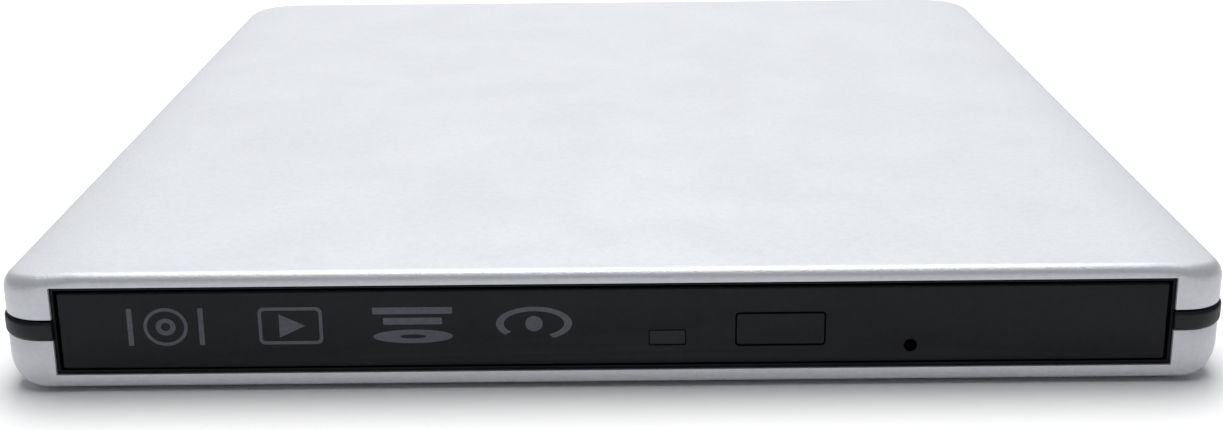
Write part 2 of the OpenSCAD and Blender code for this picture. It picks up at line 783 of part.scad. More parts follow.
// Places in the sled's own frame: the disc's centre is the origin and -Y runs out along the sled's path
module sled_frame() {
    translate([0, disc_y, 0]) rotate([0, 0, -sled_angle]) children();
}

// Cylinder along Y between two values of y
module rod(x, z, r, from, to) {
    translate([x, to, z]) rotate([90, 0, 0]) cylinder(h = to - from, r = r);
}

// Opening in the tray over the spindle and the sled
module sled_window(z0, z1) {
    translate([0, disc_y, z0]) cylinder(h = z1 - z0, r = turntable_r + 1.5);
    intersection() {
        sled_frame() block([-main_rod_x - sled_side, rod_y0, z0], [sub_rod_x + sled_side, 0, z1]);
        translate([0, disc_y, z0]) cylinder(h = z1 - z0, r = window_r, $fn = 128);
    }
}

// Plastic tray with the disc recess, its windows and the grooves that ride on the rails
module tray_body() {
    half = tray_w / 2;
    color([0.13, 0.13, 0.14]) difference() {
        union() {
            block([-half, tray_y0, tray_floor_z], [half, tray_y1, tray_rim_z]);
            for (side = [-1, 1]) translate([side * (half - tray_side_w / 2), 0, 0])
                block([-tray_side_w / 2, tray_y0, tray_z0], [tray_side_w / 2, tray_y1, tray_floor_z + 0.1]);
            block([-half, tray_y0, tray_z0], [half, tray_y0 + tray_wall_t, tray_floor_z + 0.1]);
            for (x = tray_tab_xs)
                block([x - 3, bezel_back, drive_mid_z - 1.5], [x + 3, tray_y0 + 0.1, drive_mid_z + 1.5]);
            for (p = shield_places) translate([p[0], p[1], shield_z + shield_t])
                cylinder(h = tray_floor_z - shield_z, r = shield_boss_r);
            translate([latch_x, latch_y, latch_z - 0.2])
                cylinder(h = tray_floor_z - latch_z + 0.3, r = latch_pin_r);
            translate([latch_x, latch_y, latch_z + latch_t + 0.1])
                cylinder(h = tray_floor_z - latch_z - latch_t, r = 1.6);
        }
        translate([0, disc_y, tray_top]) cylinder(h = cover_z, r = recess_r, $fn = 128);
        translate([0, disc_y, tray_top - tray_step]) cylinder(h = cover_z, r = small_disc_r, $fn = 128);
        for (side = [0, 1]) mirror([side, 0, 0])
            block([rail_x0 - rail_gap, tray_y0 + tray_wall_t, rail_z - rail_h / 2 - rail_gap],
                [half + cut, tray_y1 + cut, rail_z + rail_h / 2 + rail_gap]);
        sled_window(tray_z0, cover_z);
        for (p = shield_places) translate([p[0], p[1], tray_z0]) cylinder(h = 3, r = shield_screw_r + slack);
        sled_frame() for (p = damper_places) translate([p[0], p[1], tray_z0])
            cylinder(h = tray_top - 0.5 - tray_z0, r = damper_bore_r);
        block([button_x - 1.8, tray_y0 - cut, button_z - 1.4],
            [button_x + 1.8, tray_y0 + tray_wall_t + cut, button_z + 0.9]);
        block([light_x - light_w / 2 - slack, tray_y0 - cut, light_z - light_h / 2 - slack],
            [light_x + light_w / 2 + slack, tray_y0 + tray_wall_t + cut, light_z + light_h / 2 + slack]);
        block([pinhole_x - 1.6, tray_y0 - cut, tray_z0 - cut],
            [pinhole_x + 1.6, tray_y0 + tray_wall_t + cut, pinhole_z + 1]);
    }
}

// Front plate of the tray with its rim, button hole, light window and release hole
module tray_bezel() {
    half = drive_w / 2;
    color([0.12, 0.13, 0.14]) difference() {
        block([-half, bezel_y0, drive_z0], [half, bezel_y1, drive_z1]);
        block([-half + 1.2, bezel_back, drive_z0 + 1], [half - 1.2, bezel_y1 + cut, drive_z1 - 1]);
        block([button_x - button_w / 2 - button_gap, bezel_y0 - cut, button_z - button_h / 2 - button_gap],
            [button_x + button_w / 2 + button_gap, bezel_y1, button_z + button_h / 2 + button_gap]);
        block([light_x - light_w / 2 - slack, bezel_y0 - cut, light_z - light_h / 2 - slack],
            [light_x + light_w / 2 + slack, bezel_y1, light_z + light_h / 2 + slack]);
        rod(pinhole_x, pinhole_z, pinhole_r, bezel_y0 - cut, bezel_y1);
    }
}

// Sheet under the sled and spindle
module tray_shield() {
    color([0.7, 0.71, 0.72]) difference() {
        block([shield_x0, tray_y0 + tray_wall_t + 0.2, shield_z], [shield_x1, deck_y1, shield_z + shield_t]);
        for (p = shield_places) translate([p[0], p[1], 0])
            cylinder(h = tray_floor_z, r = shield_head_r + slack);
    }
}

// Clear bar that carries the light to the bezel
module light_guide() {
    color([0.3, 0.31, 0.33]) block([light_x - light_w / 2, bezel_y0 + 0.05, light_z - light_h / 2],
        [light_x + light_w / 2, front_board_y0 - 0.1, light_z + light_h / 2]);
}

// Small board behind the bezel with the switch and the light
module front_board() {
    color([0.05, 0.3, 0.18]) block([front_board_x0, front_board_y0, front_board_z],
        [front_board_x1, front_board_y0 + front_board_d, front_board_top]);
}

// Push switch behind the eject button
module eject_switch() {
    nub_y = stem_tip_y + button_travel + slack;
    color([0.75, 0.75, 0.76]) {
        block([button_x - 2.2, nub_y + 0.7, front_board_top], [button_x + 2.2, nub_y + 3.4, button_z + 0.7]);
        block([button_x - 0.8, nub_y, button_z - 0.8], [button_x + 0.8, nub_y + 0.8, button_z + 0.4]);
    }
}

// Light behind the light guide
module status_led() {
    color([0.9, 0.9, 0.7]) block([light_x - 0.8, front_board_y0 + 0.1, front_board_top],
        [light_x + 0.8, front_board_y0 + 1.1, front_board_top + 1.1]);
}

// Push button, held behind the bezel by its flange
module eject_button() {
    flange_y = bezel_back + 0.1;
    color([0.12, 0.13, 0.14]) {
        block([button_x - button_w / 2, bezel_y0, button_z - button_h / 2],
            [button_x + button_w / 2, flange_y + 0.7, button_z + button_h / 2]);
        block([button_x - 1, flange_y, button_z - 1], [button_x + 1, stem_tip_y, button_z + 0.5]);
    }
}

// Steel deck that carries the spindle, the rods and the sled
module deck_plate() {
    color([0.55, 0.56, 0.58]) difference() {
        intersection() {
            sled_frame() block([-28, rod_y0 - 0.9, deck_z], [24, 13, deck_z + deck_t]);
            block([shield_x0, tray_y0 + tray_wall_t + 0.2, 0], [shield_x1 - 0.2, deck_y1, case_z1]);
        }
        translate([0, disc_y, 0]) cylinder(h = case_z1, r = rotor_r + 0.8);
        sled_frame() {
            block([-main_rod_x - 1.6, rod_y0 + 1.9, 0], [sub_rod_x + 1.6, rod_y1 - 2.4, case_z1]);
            block([-lead_screw_x - stepper_r - 0.2, screw_y1 + 0.6, 0],
                [-lead_screw_x + stepper_r + 0.2, screw_y1 + stepper_d + 0.9, case_z1]);
            for (p = damper_places) translate([p[0], p[1], 0]) cylinder(h = case_z1, r = damper_hole_r + slack);
        }
    }
}

// Rubber mounts between the deck and the tray
module deck_dampers() {
    color([0.15, 0.14, 0.13]) sled_frame() for (p = damper_places) translate([p[0], p[1], 0]) difference() {
        union() {
            translate([0, 0, deck_z - 0.75]) cylinder(h = 0.75, r = damper_r);
            translate([0, 0, deck_z - 0.1]) cylinder(h = deck_t + 0.1, r = damper_hole_r);
            translate([0, 0, deck_z + deck_t]) cylinder(h = tray_floor_z - deck_z - deck_t, r = damper_r);
        }
        cylinder(h = case_z1, r = damper_bore_r);
    }
}

// Screws of the deck's dampers and of the shield
module tray_screws() {
    color([0.55, 0.55, 0.56]) {
        sled_frame() for (p = damper_places) translate([p[0], p[1], 0]) {
            translate([0, 0, deck_z - 1.75]) cylinder(h = 1, r = 2 * damper_bore_r);
            translate([0, 0, deck_z - 1]) cylinder(h = tray_top - 0.6 - deck_z + 1, r = damper_bore_r - slack);
        }
        for (p = shield_places) translate([p[0], p[1], shield_z]) {
            cylinder(h = shield_t, r = shield_head_r);
            cylinder(h = 2.6, r = shield_screw_r);
        }
    }
}

// Base, bearing and coil ring of the spindle motor
module spindle_stator() {
    stator_h = 1.1;
    pole_turn = 360 / stator_poles;
    color([0.6, 0.5, 0.35]) translate([0, disc_y, 0]) difference() {
        union() {
            translate([0, 0, deck_z - 0.8]) cylinder(h = 0.8, r = rotor_r + 2.2);
            translate([0, 0, mech_z]) cylinder(h = tray_floor_z + 0.4 - mech_z, r = 2.2);
            translate([0, 0, deck_z - 0.1]) intersection() {
                cylinder(h = stator_h, r = stator_r);
                union() {
                    cylinder(h = stator_h, r = 4);
                    for (i = [1:stator_poles]) rotate([0, 0, i * pole_turn])
                        block([0, -1.1, 0], [stator_r, 1.1, stator_h]);
                    difference() {
                        cylinder(h = stator_h, r = stator_r);
                        translate([0, 0, -cut]) cylinder(h = 4, r = stator_r - 1.2);
                        for (i = [1:stator_poles]) rotate([0, 0, (i + 0.5) * pole_turn])
                            block([stator_r / 2, -0.5, -cut], [stator_r + cut, 0.5, 3]);
                    }
                }
            }
        }
        translate([0, 0, mech_z + 0.3]) cylinder(h = case_z1, r = shaft_r + run_gap);
    }
}

// Rotor of the spindle motor with its shaft, turntable and hub
module spindle_rotor() {
    table_z = disc_z - pad_h - rotor_t;
    chamfer = 0.4;
    rotor_wall = 0.9;
    color([0.7, 0.7, 0.72]) translate([0, disc_y, 0]) difference() {
        union() {
            translate([0, 0, deck_z + 0.2]) difference() {
                cylinder(h = table_z - deck_z, r = rotor_r);
                translate([0, 0, -cut])
                    cylinder(h = tray_floor_z + 0.4 - deck_z + cut, r = rotor_r - rotor_wall);
            }
            translate([0, 0, table_z]) cylinder(h = rotor_t, r = turntable_r);
            translate([0, 0, mech_z + 0.5]) cylinder(h = table_z - mech_z, r = shaft_r);
            translate([0, 0, table_z + slack]) cylinder(h = hub_top - chamfer - table_z - slack, r = hub_r);
            translate([0, 0, hub_top - chamfer]) cylinder(h = chamfer, r1 = hub_r, r2 = hub_r - 1.5 * chamfer);
        }
        for (turn = [0, 120, 240]) rotate([0, 0, turn])
            block([4, -pawl_w / 2, disc_z + 0.2], [hub_r + cut, pawl_w / 2, hub_top - chamfer]);
    }
}

// Rubber ring on the turntable
module turntable_pad() {
    color([0.1, 0.1, 0.1]) translate([0, disc_y, disc_z - pad_h]) difference() {
        cylinder(h = pad_h, r = turntable_r - 0.2);
        translate([0, 0, -cut]) cylinder(h = 3 * cut, r = turntable_r - 3);
    }
}

// Three sprung pawls in the hub that hold the disc
module hub_pawls() {
    color([0.85, 0.85, 0.84]) translate([0, disc_y, 0]) for (turn = [0, 120, 240]) rotate([0, 0, turn])
        block([4.1, slack - pawl_w / 2, disc_z + 0.25], [hub_r - 0.15, pawl_w / 2 - slack, hub_top - 0.45]);
}

// Rods that the sled slides on
module main_guide_rod() {
    color([0.8, 0.8, 0.82]) sled_frame() rod(-main_rod_x, rod_z, main_rod_r, rod_y0, rod_y1);
}

module sub_guide_rod() {
    color([0.8, 0.8, 0.82]) sled_frame() rod(sub_rod_x, rod_z, sub_rod_r, rod_y0, rod_y1);
}

// Plastic blocks under the deck that hold the rods' ends and the lead screw's far end
module rod_clips() {
    color([0.2, 0.2, 0.2]) sled_frame() difference() {
        union() {
            for (x = [-main_rod_x, sub_rod_x]) for (y = [rod_y0 - 0.2, rod_y1 - clip_d + 0.2])
                block([x - clip_w / 2, y, mech_z], [x + clip_w / 2, y + clip_d, deck_z]);
            block([-lead_screw_x - clip_w / 2, screw_y0, mech_z],
                [-lead_screw_x + clip_w / 2, screw_y0 + 1.8, deck_z]);
        }
        rod(-main_rod_x, rod_z, main_rod_r, rod_y0, rod_y1);
        rod(sub_rod_x, rod_z, sub_rod_r, rod_y0, rod_y1);
        rod(-lead_screw_x, lead_screw_z, screw_end_r + run_gap, screw_y0 - cut, screw_y0 + 3);
    }
}

// Motor that turns the lead screw
module sled_motor() {
    color([0.72, 0.72, 0.74]) sled_frame() difference() {
        union() {
            rod(-lead_screw_x, lead_screw_z, stepper_r, screw_y1 + 0.6, screw_y1 + 0.6 + stepper_d);
            block([-lead_screw_x - stepper_r, screw_y1 + 0.1, mech_z],
                [-lead_screw_x + stepper_r, screw_y1 + 0.6, deck_z]);
        }
        rod(-lead_screw_x, lead_screw_z, screw_end_r + run_gap, screw_y1 - cut, screw_y1 + 4);
    }
}

// Grooved screw that moves the sled
module lead_screw() {
    length = screw_y1 - screw_y0 - 2.2;
    grooves = floor(length / lead_screw_pitch) - 1;
    low = lead_screw_r * 0.82;
    profile = concat([[0, 0], [lead_screw_r, 0]],
        [for (i = [1:grooves]) for (p = [[lead_screw_r, -0.35], [low, -0.2], [low, 0.2], [lead_screw_r, 0.35]])
            [p[0], i * lead_screw_pitch + p[1]]],
        [[lead_screw_r, length], [0, length]]);
    color([0.75, 0.75, 0.78]) sled_frame() {
        translate([-lead_screw_x, screw_y0 + 2, lead_screw_z]) rotate([-90, 0, 0])
            rotate_extrude($fn = 32) polygon(profile);
        rod(-lead_screw_x, lead_screw_z, screw_end_r, screw_y0 + 0.2, screw_y1 + 3);
    }
}

// Cast body of the laser pickup
module pickup_body() {
    y = -lens_start_r;
    color([0.6, 0.6, 0.62]) sled_frame() difference() {
        block([-main_rod_x - sled_side, y - sled_front, sled_z0], [sub_rod_x + 1.6, y + sled_back, sled_z1]);
        rod(-main_rod_x, rod_z, main_rod_r + run_gap, y - 20, y + 20);
        block([sub_rod_x - sub_rod_r - run_gap - 0.3, y - 20, rod_z - sub_rod_r - run_gap],
            [sub_rod_x + 5, y + 20, rod_z + sub_rod_r + run_gap]);
        block([-8, y - 5, sled_z0 + 0.8], [8, y + 5, sled_z1 + cut]);
        block([-13, y - 10, sled_z0 - cut], [-10, y - 3, sled_z1 + cut]);
        block([10, y + 5, sled_z0 - cut], [11.5, y + 20, sled_z1 + cut]);
    }
}

// Magnets beside the lens holder
module pickup_magnets() {
    color([0.5, 0.5, 0.52]) sled_frame() for (side = [-1, 1])
        translate([side * 5.2, -lens_start_r, sled_z0 + 0.8])
            block([-0.9, -3, 0], [0.9, 3, holder_z1 - sled_z0 - 0.8]);
}

// Follower on the lead screw, fixed to the sled
module screw_nut() {
    y = -lens_start_r + nut_back;
    color([0.9, 0.9, 0.88]) sled_frame() difference() {
        block([-lead_screw_x - nut_w / 2, y - nut_half, sled_z0],
            [-main_rod_x - sled_side, y + nut_half, sled_z1]);
        rod(-lead_screw_x, lead_screw_z, lead_screw_r + run_gap, y - 5, y + 5);
    }
}

// Floating holder of the lens
module lens_holder() {
    color([0.08, 0.08, 0.09]) sled_frame() translate([0, -lens_start_r, 0]) difference() {
        block([-holder_w / 2, -holder_d / 2, holder_z0], [holder_w / 2, holder_d / 2, holder_z1]);
        translate([0, 0, lens_z0]) cylinder(h = 3, r = lens_r + slack);
        translate([0, 0, holder_z0 - cut]) cylinder(h = 4, r = lens_r - 0.5);
    }
}

// Objective lens
module objective_lens() {
    dome = 5;                                // radius of the lens's curved face
    color([0.5, 0.6, 0.75]) sled_frame() translate([0, -lens_start_r, lens_z0]) intersection() {
        cylinder(h = lens_h, r = lens_r);
        translate([0, 0, lens_h - dome]) sphere(r = dome);
    }
}

// Coil body of the latch's solenoid
module solenoid_body() {
    color([0.7, 0.55, 0.3]) difference() {
        block([solenoid_x - 3.5, latch_y + 2.5, mech_z], [solenoid_x + 3.5, latch_y + 10, tray_floor_z]);
        rod(solenoid_x, solenoid_z, plunger_r + run_gap, latch_y, latch_y + 9.5);
    }
}

// Iron core of the solenoid, which pulls the latch's tail
module solenoid_plunger() {
    color([0.65, 0.65, 0.67]) rod(solenoid_x, solenoid_z, plunger_r, latch_y + 0.9, latch_y + 8);
}

// Hooked lever that catches the post and holds the tray shut
module latch_lever() {
    color([0.88, 0.87, 0.83]) translate([0, 0, latch_z]) difference() {
        union() {
            hull() {
                translate([latch_x, latch_y, 0]) cylinder(h = latch_t, r = 1.9, $fn = 32);
                translate([latch_x + 6, latch_y + 9.5, 0]) cylinder(h = latch_t, r = 1.1, $fn = 32);
            }
            hull() {
                translate([latch_x, latch_y, 0]) cylinder(h = latch_t, r = 1.4, $fn = 32);
                translate([latch_x - 5.5, latch_y - 0.1, 0]) cylinder(h = latch_t, r = 0.8, $fn = 32);
            }
            block([latch_x + 4.3, latch_y + 9.8, 0], [latch_x + 6.6, latch_y + 11.2, latch_t]);
        }
        translate([latch_x, latch_y, -cut]) cylinder(h = 4, r = latch_pin_r + run_gap);
    }
}

// Slider behind the release hole: a pin pushed into the hole moves it against the latch
module release_slider() {
    rear = latch_y - 3.4;
    color([0.88, 0.87, 0.83]) {
        block([pinhole_x - 1.4, front_board_y0, tray_z0 + 0.2], [pinhole_x + 1.4, rear, tray_floor_z - 0.1]);
        block([pinhole_x - 1.4, rear - 1.6, tray_z0 + 0.2], [solenoid_x + 2, rear, latch_z + latch_t]);
    }
}

// Ribbon cable: the stretch that lies on the drive's pan
module ribbon_lower() {
    slot_z = board_top + 0.35;
    color([0.85, 0.85, 0.8]) translate([ribbon_x0, 0, 0]) rotate([90, 0, 90])
        linear_extrude(ribbon_x1 - ribbon_x0) polygon([
            [ribbon_front, ribbon_z], [board_y0 - 4, ribbon_z],
            [board_y0 - 1, slot_z], [board_y0 + 3, slot_z],
            [board_y0 + 3, slot_z + ribbon_t], [board_y0 - 1.1, slot_z + ribbon_t],
            [board_y0 - 4.1, ribbon_z + ribbon_t], [ribbon_front, ribbon_z + ribbon_t]]);
}

// Ribbon cable: the fold, which moves half as far as the tray
module ribbon_fold() {
    z = ribbon_z + ribbon_step + ribbon_fold_r;
    color([0.85, 0.85, 0.8]) translate([ribbon_x0, ribbon_front, z]) rotate([0, 90, 0]) difference() {
        cylinder(h = ribbon_x1 - ribbon_x0, r = ribbon_fold_r);
        translate([0, 0, -cut]) cylinder(h = ribbon_x1, r = ribbon_fold_r - ribbon_t);
        block([-5, 0, -cut], [5, 5, ribbon_x1]);
    }
}

// Ribbon cable: the stretch that hangs under the tray
module ribbon_upper() {
    z = ribbon_z + 2 * ribbon_step + 2 * ribbon_fold_r;
    color([0.85, 0.85, 0.8]) {
        block([ribbon_x0, ribbon_front, z], [ribbon_x1, ribbon_end, z + ribbon_t]);
        block([ribbon_x0, ribbon_end - ribbon_t, z], [ribbon_x1, ribbon_end, tray_floor_z]);
    }
}

top_shell();
bottom_shell();
mid_frame();
rubber_feet();
case_screws();
foam_pads();
bridge_board();
bridge_chip();
bridge_components();
bridge_screws();
usb_port();
usb_tongue();
power_jack();
power_jack_pin();
drive_socket();
drive_pan();
drive_cover();
cover_screws();
left_guide();
right_guide();
main_board();
controller_chip();
driver_chip();
ribbon_connector();
drive_plug();
catch_post();
left_rail();
right_rail();
tray_body();
tray_bezel();
tray_shield();
light_guide();
front_board();
eject_switch();
status_led();
deck_plate();
deck_dampers();
tray_screws();
spindle_stator();
main_guide_rod();
sub_guide_rod();
rod_clips();
sled_motor();
solenoid_body();
solenoid_plunger();
ribbon_lower();
ribbon_fold();
ribbon_upper();
eject_button();
spindle_rotor();
turntable_pad();
hub_pawls();
pickup_body();
pickup_magnets();
screw_nut();
lens_holder();
objective_lens();
lead_screw();
latch_lever();
release_slider();
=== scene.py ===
from math import cos, pi, radians, sin, sqrt

import bmesh
import bpy
from mathutils import Matrix, Vector


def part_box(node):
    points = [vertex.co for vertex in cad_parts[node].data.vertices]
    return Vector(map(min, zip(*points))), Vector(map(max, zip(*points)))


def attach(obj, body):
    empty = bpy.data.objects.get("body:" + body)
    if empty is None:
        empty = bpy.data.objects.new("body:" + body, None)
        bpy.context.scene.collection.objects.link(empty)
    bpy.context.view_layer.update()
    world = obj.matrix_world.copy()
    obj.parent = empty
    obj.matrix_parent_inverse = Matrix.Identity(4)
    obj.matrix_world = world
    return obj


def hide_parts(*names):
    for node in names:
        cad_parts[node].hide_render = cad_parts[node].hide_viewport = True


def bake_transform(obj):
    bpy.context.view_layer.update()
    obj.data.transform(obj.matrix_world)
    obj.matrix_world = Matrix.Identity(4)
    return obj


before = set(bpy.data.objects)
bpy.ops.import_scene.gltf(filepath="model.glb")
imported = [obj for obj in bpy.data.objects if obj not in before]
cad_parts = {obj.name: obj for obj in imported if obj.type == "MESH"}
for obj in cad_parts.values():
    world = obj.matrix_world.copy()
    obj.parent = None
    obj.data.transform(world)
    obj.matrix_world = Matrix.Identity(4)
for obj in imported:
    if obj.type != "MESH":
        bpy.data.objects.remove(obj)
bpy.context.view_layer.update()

# ---------------------------------------------------------------- Camera
# The drive is seen from a little above its front, almost square on, so that the bezel
# fills the lower third and the lid runs away behind it.
camera_place = Vector((-0.00045, -0.248989, 0.082858))
camera_down = radians(16.095)
camera_turn = radians(-0.130)
camera_roll = radians(-0.491)
camera_data = bpy.data.cameras.new("camera")
camera_data.lens = 48.153
camera_data.sensor_width = 36
camera_data.shift_y = -0.0781
camera_data.clip_start = 0.01
camera = bpy.data.objects.new("camera", camera_data)
bpy.context.scene.collection.objects.link(camera)
camera.matrix_world = (
    Matrix.Translation(camera_place)
    @ Matrix.Rotation(camera_turn, 4, "Z")
    @ Matrix.Rotation(pi / 2 - camera_down, 4, "X")
    @ Matrix.Rotation(camera_roll, 4, "Z")
)
bpy.context.scene.camera = camera
bpy.context.scene.view_settings.view_transform = "Standard"

# ---------------------------------------------------------------- Light
# A studio tent: one wide soft box overhead, a broad bright wall behind the drive that the
# lid mirrors, and a low strip that lifts the front lip. The room is dim, which keeps the bezel dark.
def soft_box(name, place, aim, width, depth, watts):
    data = bpy.data.lights.new(name, "AREA")
    data.shape = "RECTANGLE"
    data.size = width
    data.size_y = depth
    data.energy = watts
    lamp = bpy.data.objects.new(name, data)
    bpy.context.scene.collection.objects.link(lamp)
    lamp.location = place
    lamp.rotation_euler = (Vector(aim) - Vector(place)).to_track_quat("-Z", "Y").to_euler()
    lamp.visible_camera = False


soft_box("overhead", (0.0, 0.30, 0.95), (0, -0.03, 0), 0.8, 1.0, 15.5)
soft_box("back_wall", (0.0, 1.3, 0.42), (0, 0, 0.05), 2.2, 0.8, 4.0)
soft_box("low_front", (0.0, -0.9, 0.04), (0, 0, 0.004), 1.2, 0.06, 0.9)
world = bpy.data.worlds.new("room")
world.use_nodes = True
world.node_tree.nodes["Background"].inputs["Color"].default_value = (0.80, 0.82, 0.86, 1)
world.node_tree.nodes["Background"].inputs["Strength"].default_value = 0.12
bpy.context.scene.world = world


# ---------------------------------------------------------------- Lid
# The upper shell is moulded and sprayed with a fine satin silver. Its sides fall away in a
# soft shoulder and its front and back edges have a tight rounding. Four bosses take the screws.
# Sizes here and below are in millimetres.
MM = 0.001
base_low, base_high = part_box("bottom_shell")
case_half_x = base_high.x / MM
case_half_y = base_high.y / MM
lid_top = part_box("top_shell")[1].z / MM
plan_r = 5.5
shoulder_w = 10.5
shoulder_h = 1.5
lid_edge_r = 1.3
lid_edge_grow = 1.3
wall = 0.9
seam = 0.3
joint_gap = 0.05
belt_top = base_high.z / MM
blend_power = 3.2
frame_low, frame_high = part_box("mid_frame")
opening_x = 64.8
opening_z0 = frame_low.z / MM - joint_gap
opening_z1 = frame_high.z / MM + joint_gap
opening_depth = 2.2


def shader_group(name, inputs, outputs):
    tree = bpy.data.node_groups.new(name, "ShaderNodeTree")
    for label, start in inputs:
        socket = tree.interface.new_socket(label, in_out="INPUT", socket_type="NodeSocketFloat")
        socket.default_value = start
    for label, kind in outputs:
        tree.interface.new_socket(label, in_out="OUTPUT", socket_type=kind)
    return tree, tree.nodes.new("NodeGroupInput"), tree.nodes.new("NodeGroupOutput")


def grain_group():
    tree, feed, result = shader_group(
        "surface_grain",
        [("Fine", 3000.0), ("Coarse", 300.0)],
        [("Height", "NodeSocketFloat"), ("Shade", "NodeSocketFloat")],
    )
    place = tree.nodes.new("ShaderNodeTexCoord")
    fine = tree.nodes.new("ShaderNodeTexNoise")
    fine.inputs["Detail"].default_value = 2.0
    fine.inputs["Roughness"].default_value = 0.6
    coarse = tree.nodes.new("ShaderNodeTexNoise")
    coarse.inputs["Detail"].default_value = 4.0
    for noise, label in ((fine, "Fine"), (coarse, "Coarse")):
        tree.links.new(place.outputs["Object"], noise.inputs["Vector"])
        tree.links.new(feed.outputs[label], noise.inputs["Scale"])
    both = tree.nodes.new("ShaderNodeMath")
    both.operation = "MULTIPLY_ADD"
    both.inputs[1].default_value = 0.35
    spread = tree.nodes.new("ShaderNodeMapRange")
    spread.inputs["From Min"].default_value = 0.45
    spread.inputs["From Max"].default_value = 0.9
    tree.links.new(fine.outputs[0], both.inputs[0])
    tree.links.new(coarse.outputs[0], both.inputs[2])
    tree.links.new(both.outputs[0], spread.inputs["Value"])
    tree.links.new(fine.outputs[0], result.inputs["Height"])
    tree.links.new(spread.outputs[0], result.inputs["Shade"])
    return tree


def handling_group():
    tree, feed, result = shader_group(
        "handling", [("Size", 60.0), ("Low", 0.3), ("High", 0.5)], [("Roughness", "NodeSocketFloat")]
    )
    place = tree.nodes.new("ShaderNodeTexCoord")
    noise = tree.nodes.new("ShaderNodeTexNoise")
    noise.inputs["Detail"].default_value = 5.0
    noise.inputs["Distortion"].default_value = 0.4
    spread = tree.nodes.new("ShaderNodeMapRange")
    spread.inputs["From Min"].default_value = 0.35
    spread.inputs["From Max"].default_value = 0.65
    tree.links.new(place.outputs["Object"], noise.inputs["Vector"])
    tree.links.new(feed.outputs["Size"], noise.inputs["Scale"])
    tree.links.new(noise.outputs[0], spread.inputs["Value"])
    tree.links.new(feed.outputs["Low"], spread.inputs["To Min"])
    tree.links.new(feed.outputs["High"], spread.inputs["To Max"])
    tree.links.new(spread.outputs[0], result.inputs["Roughness"])
    return tree


def rolling_group():
    tree, feed, result = shader_group(
        "rolling_lines",
        [("Across", 6000.0), ("Along", 90.0)],
        [("Height", "NodeSocketFloat"), ("Shade", "NodeSocketFloat")],
    )
    place = tree.nodes.new("ShaderNodeTexCoord")
    stretch = tree.nodes.new("ShaderNodeVectorMath")
    stretch.operation = "MULTIPLY"
    join = tree.nodes.new("ShaderNodeCombineXYZ")
    noise = tree.nodes.new("ShaderNodeTexNoise")
    noise.inputs["Scale"].default_value = 1.0
    noise.inputs["Detail"].default_value = 3.0
    tree.links.new(feed.outputs["Across"], join.inputs["X"])
    tree.links.new(feed.outputs["Along"], join.inputs["Y"])
    tree.links.new(feed.outputs["Across"], join.inputs["Z"])
    tree.links.new(place.outputs["Object"], stretch.inputs[0])
    tree.links.new(join.outputs[0], stretch.inputs[1])
    tree.links.new(stretch.outputs[0], noise.inputs["Vector"])
    tree.links.new(noise.outputs[0], result.inputs["Height"])
    tree.links.new(noise.outputs[0], result.inputs["Shade"])
    return tree


grain_tree = grain_group()
handling_tree = handling_group()
rolling_tree = rolling_group()


def place_group(material, tree, **values):
    node = material.node_tree.nodes.new("ShaderNodeGroup")
    node.node_tree = tree
    for label, value in values.items():
        node.inputs[label].default_value = value
    return node


def colour(rgb):
    """Linear value of a colour given as three numbers from 0 to 255."""
    scaled = [c / 255 for c in rgb]
    return (*[c / 12.92 if c <= 0.04045 else ((c + 0.055) / 1.055) ** 2.4 for c in scaled], 1)


def finish(name, light, dark, rough, metal=0.0, fine=3000, coarse=300, relief=0.00002, strength=0.3,
           lines=False, coat=0.0, specular=0.5):
    """A material whose colour runs between two tones with its grain, and whose gloss runs over a range."""
    material = bpy.data.materials.new(name)
    material.use_nodes = True
    nodes, links = material.node_tree.nodes, material.node_tree.links
    shader = nodes["Principled BSDF"]
    if lines:
        grain = place_group(material, rolling_tree, Across=fine, Along=coarse)
    else:
        grain = place_group(material, grain_tree, Fine=fine, Coarse=coarse)
    tone = nodes.new("ShaderNodeMix")
    tone.data_type = "RGBA"
    tone.inputs["A"].default_value = colour(dark)
    tone.inputs["B"].default_value = colour(light)
    links.new(grain.outputs["Shade"], tone.inputs["Factor"])
    links.new(tone.outputs["Result"], shader.inputs["Base Color"])
    handled = place_group(material, handling_tree, Size=70.0, Low=rough[0], High=rough[1])
    links.new(handled.outputs["Roughness"], shader.inputs["Roughness"])
    bump = nodes.new("ShaderNodeBump")
    bump.inputs["Strength"].default_value = strength
    bump.inputs["Distance"].default_value = relief
    links.new(grain.outputs["Height"], bump.inputs["Height"])
    links.new(bump.outputs["Normal"], shader.inputs["Normal"])
    shader.inputs["Metallic"].default_value = metal
    shader.inputs["Coat Weight"].default_value = coat
    shader.inputs["Specular IOR Level"].default_value = specular
    return material


def dress(material, *names):
    """Gives these CAD nodes a material."""
    for node_name in names:
        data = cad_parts[node_name].data
        data.materials.clear()
        data.materials.append(material)


def add_piece(name, points, faces, material=None, smooth=35):
    """A mesh object from points in millimetres. Edges sharper than smooth degrees stay sharp."""
    mesh = bpy.data.meshes.new(name)
    mesh.from_pydata([Vector(p) * MM for p in points], [], faces)
    mesh.validate()
    work = bmesh.new()
    work.from_mesh(mesh)
    bmesh.ops.remove_doubles(work, verts=work.verts, dist=1e-7)
    bmesh.ops.recalc_face_normals(work, faces=work.faces)
    work.to_mesh(mesh)
    work.free()
    mesh.polygons.foreach_set("use_smooth", [True] * len(mesh.polygons))
    mesh.set_sharp_from_angle(angle=radians(smooth))
    piece = bpy.data.objects.new(name, mesh)
    bpy.context.scene.collection.objects.link(piece)
    if material:
        mesh.materials.append(material)
    return piece


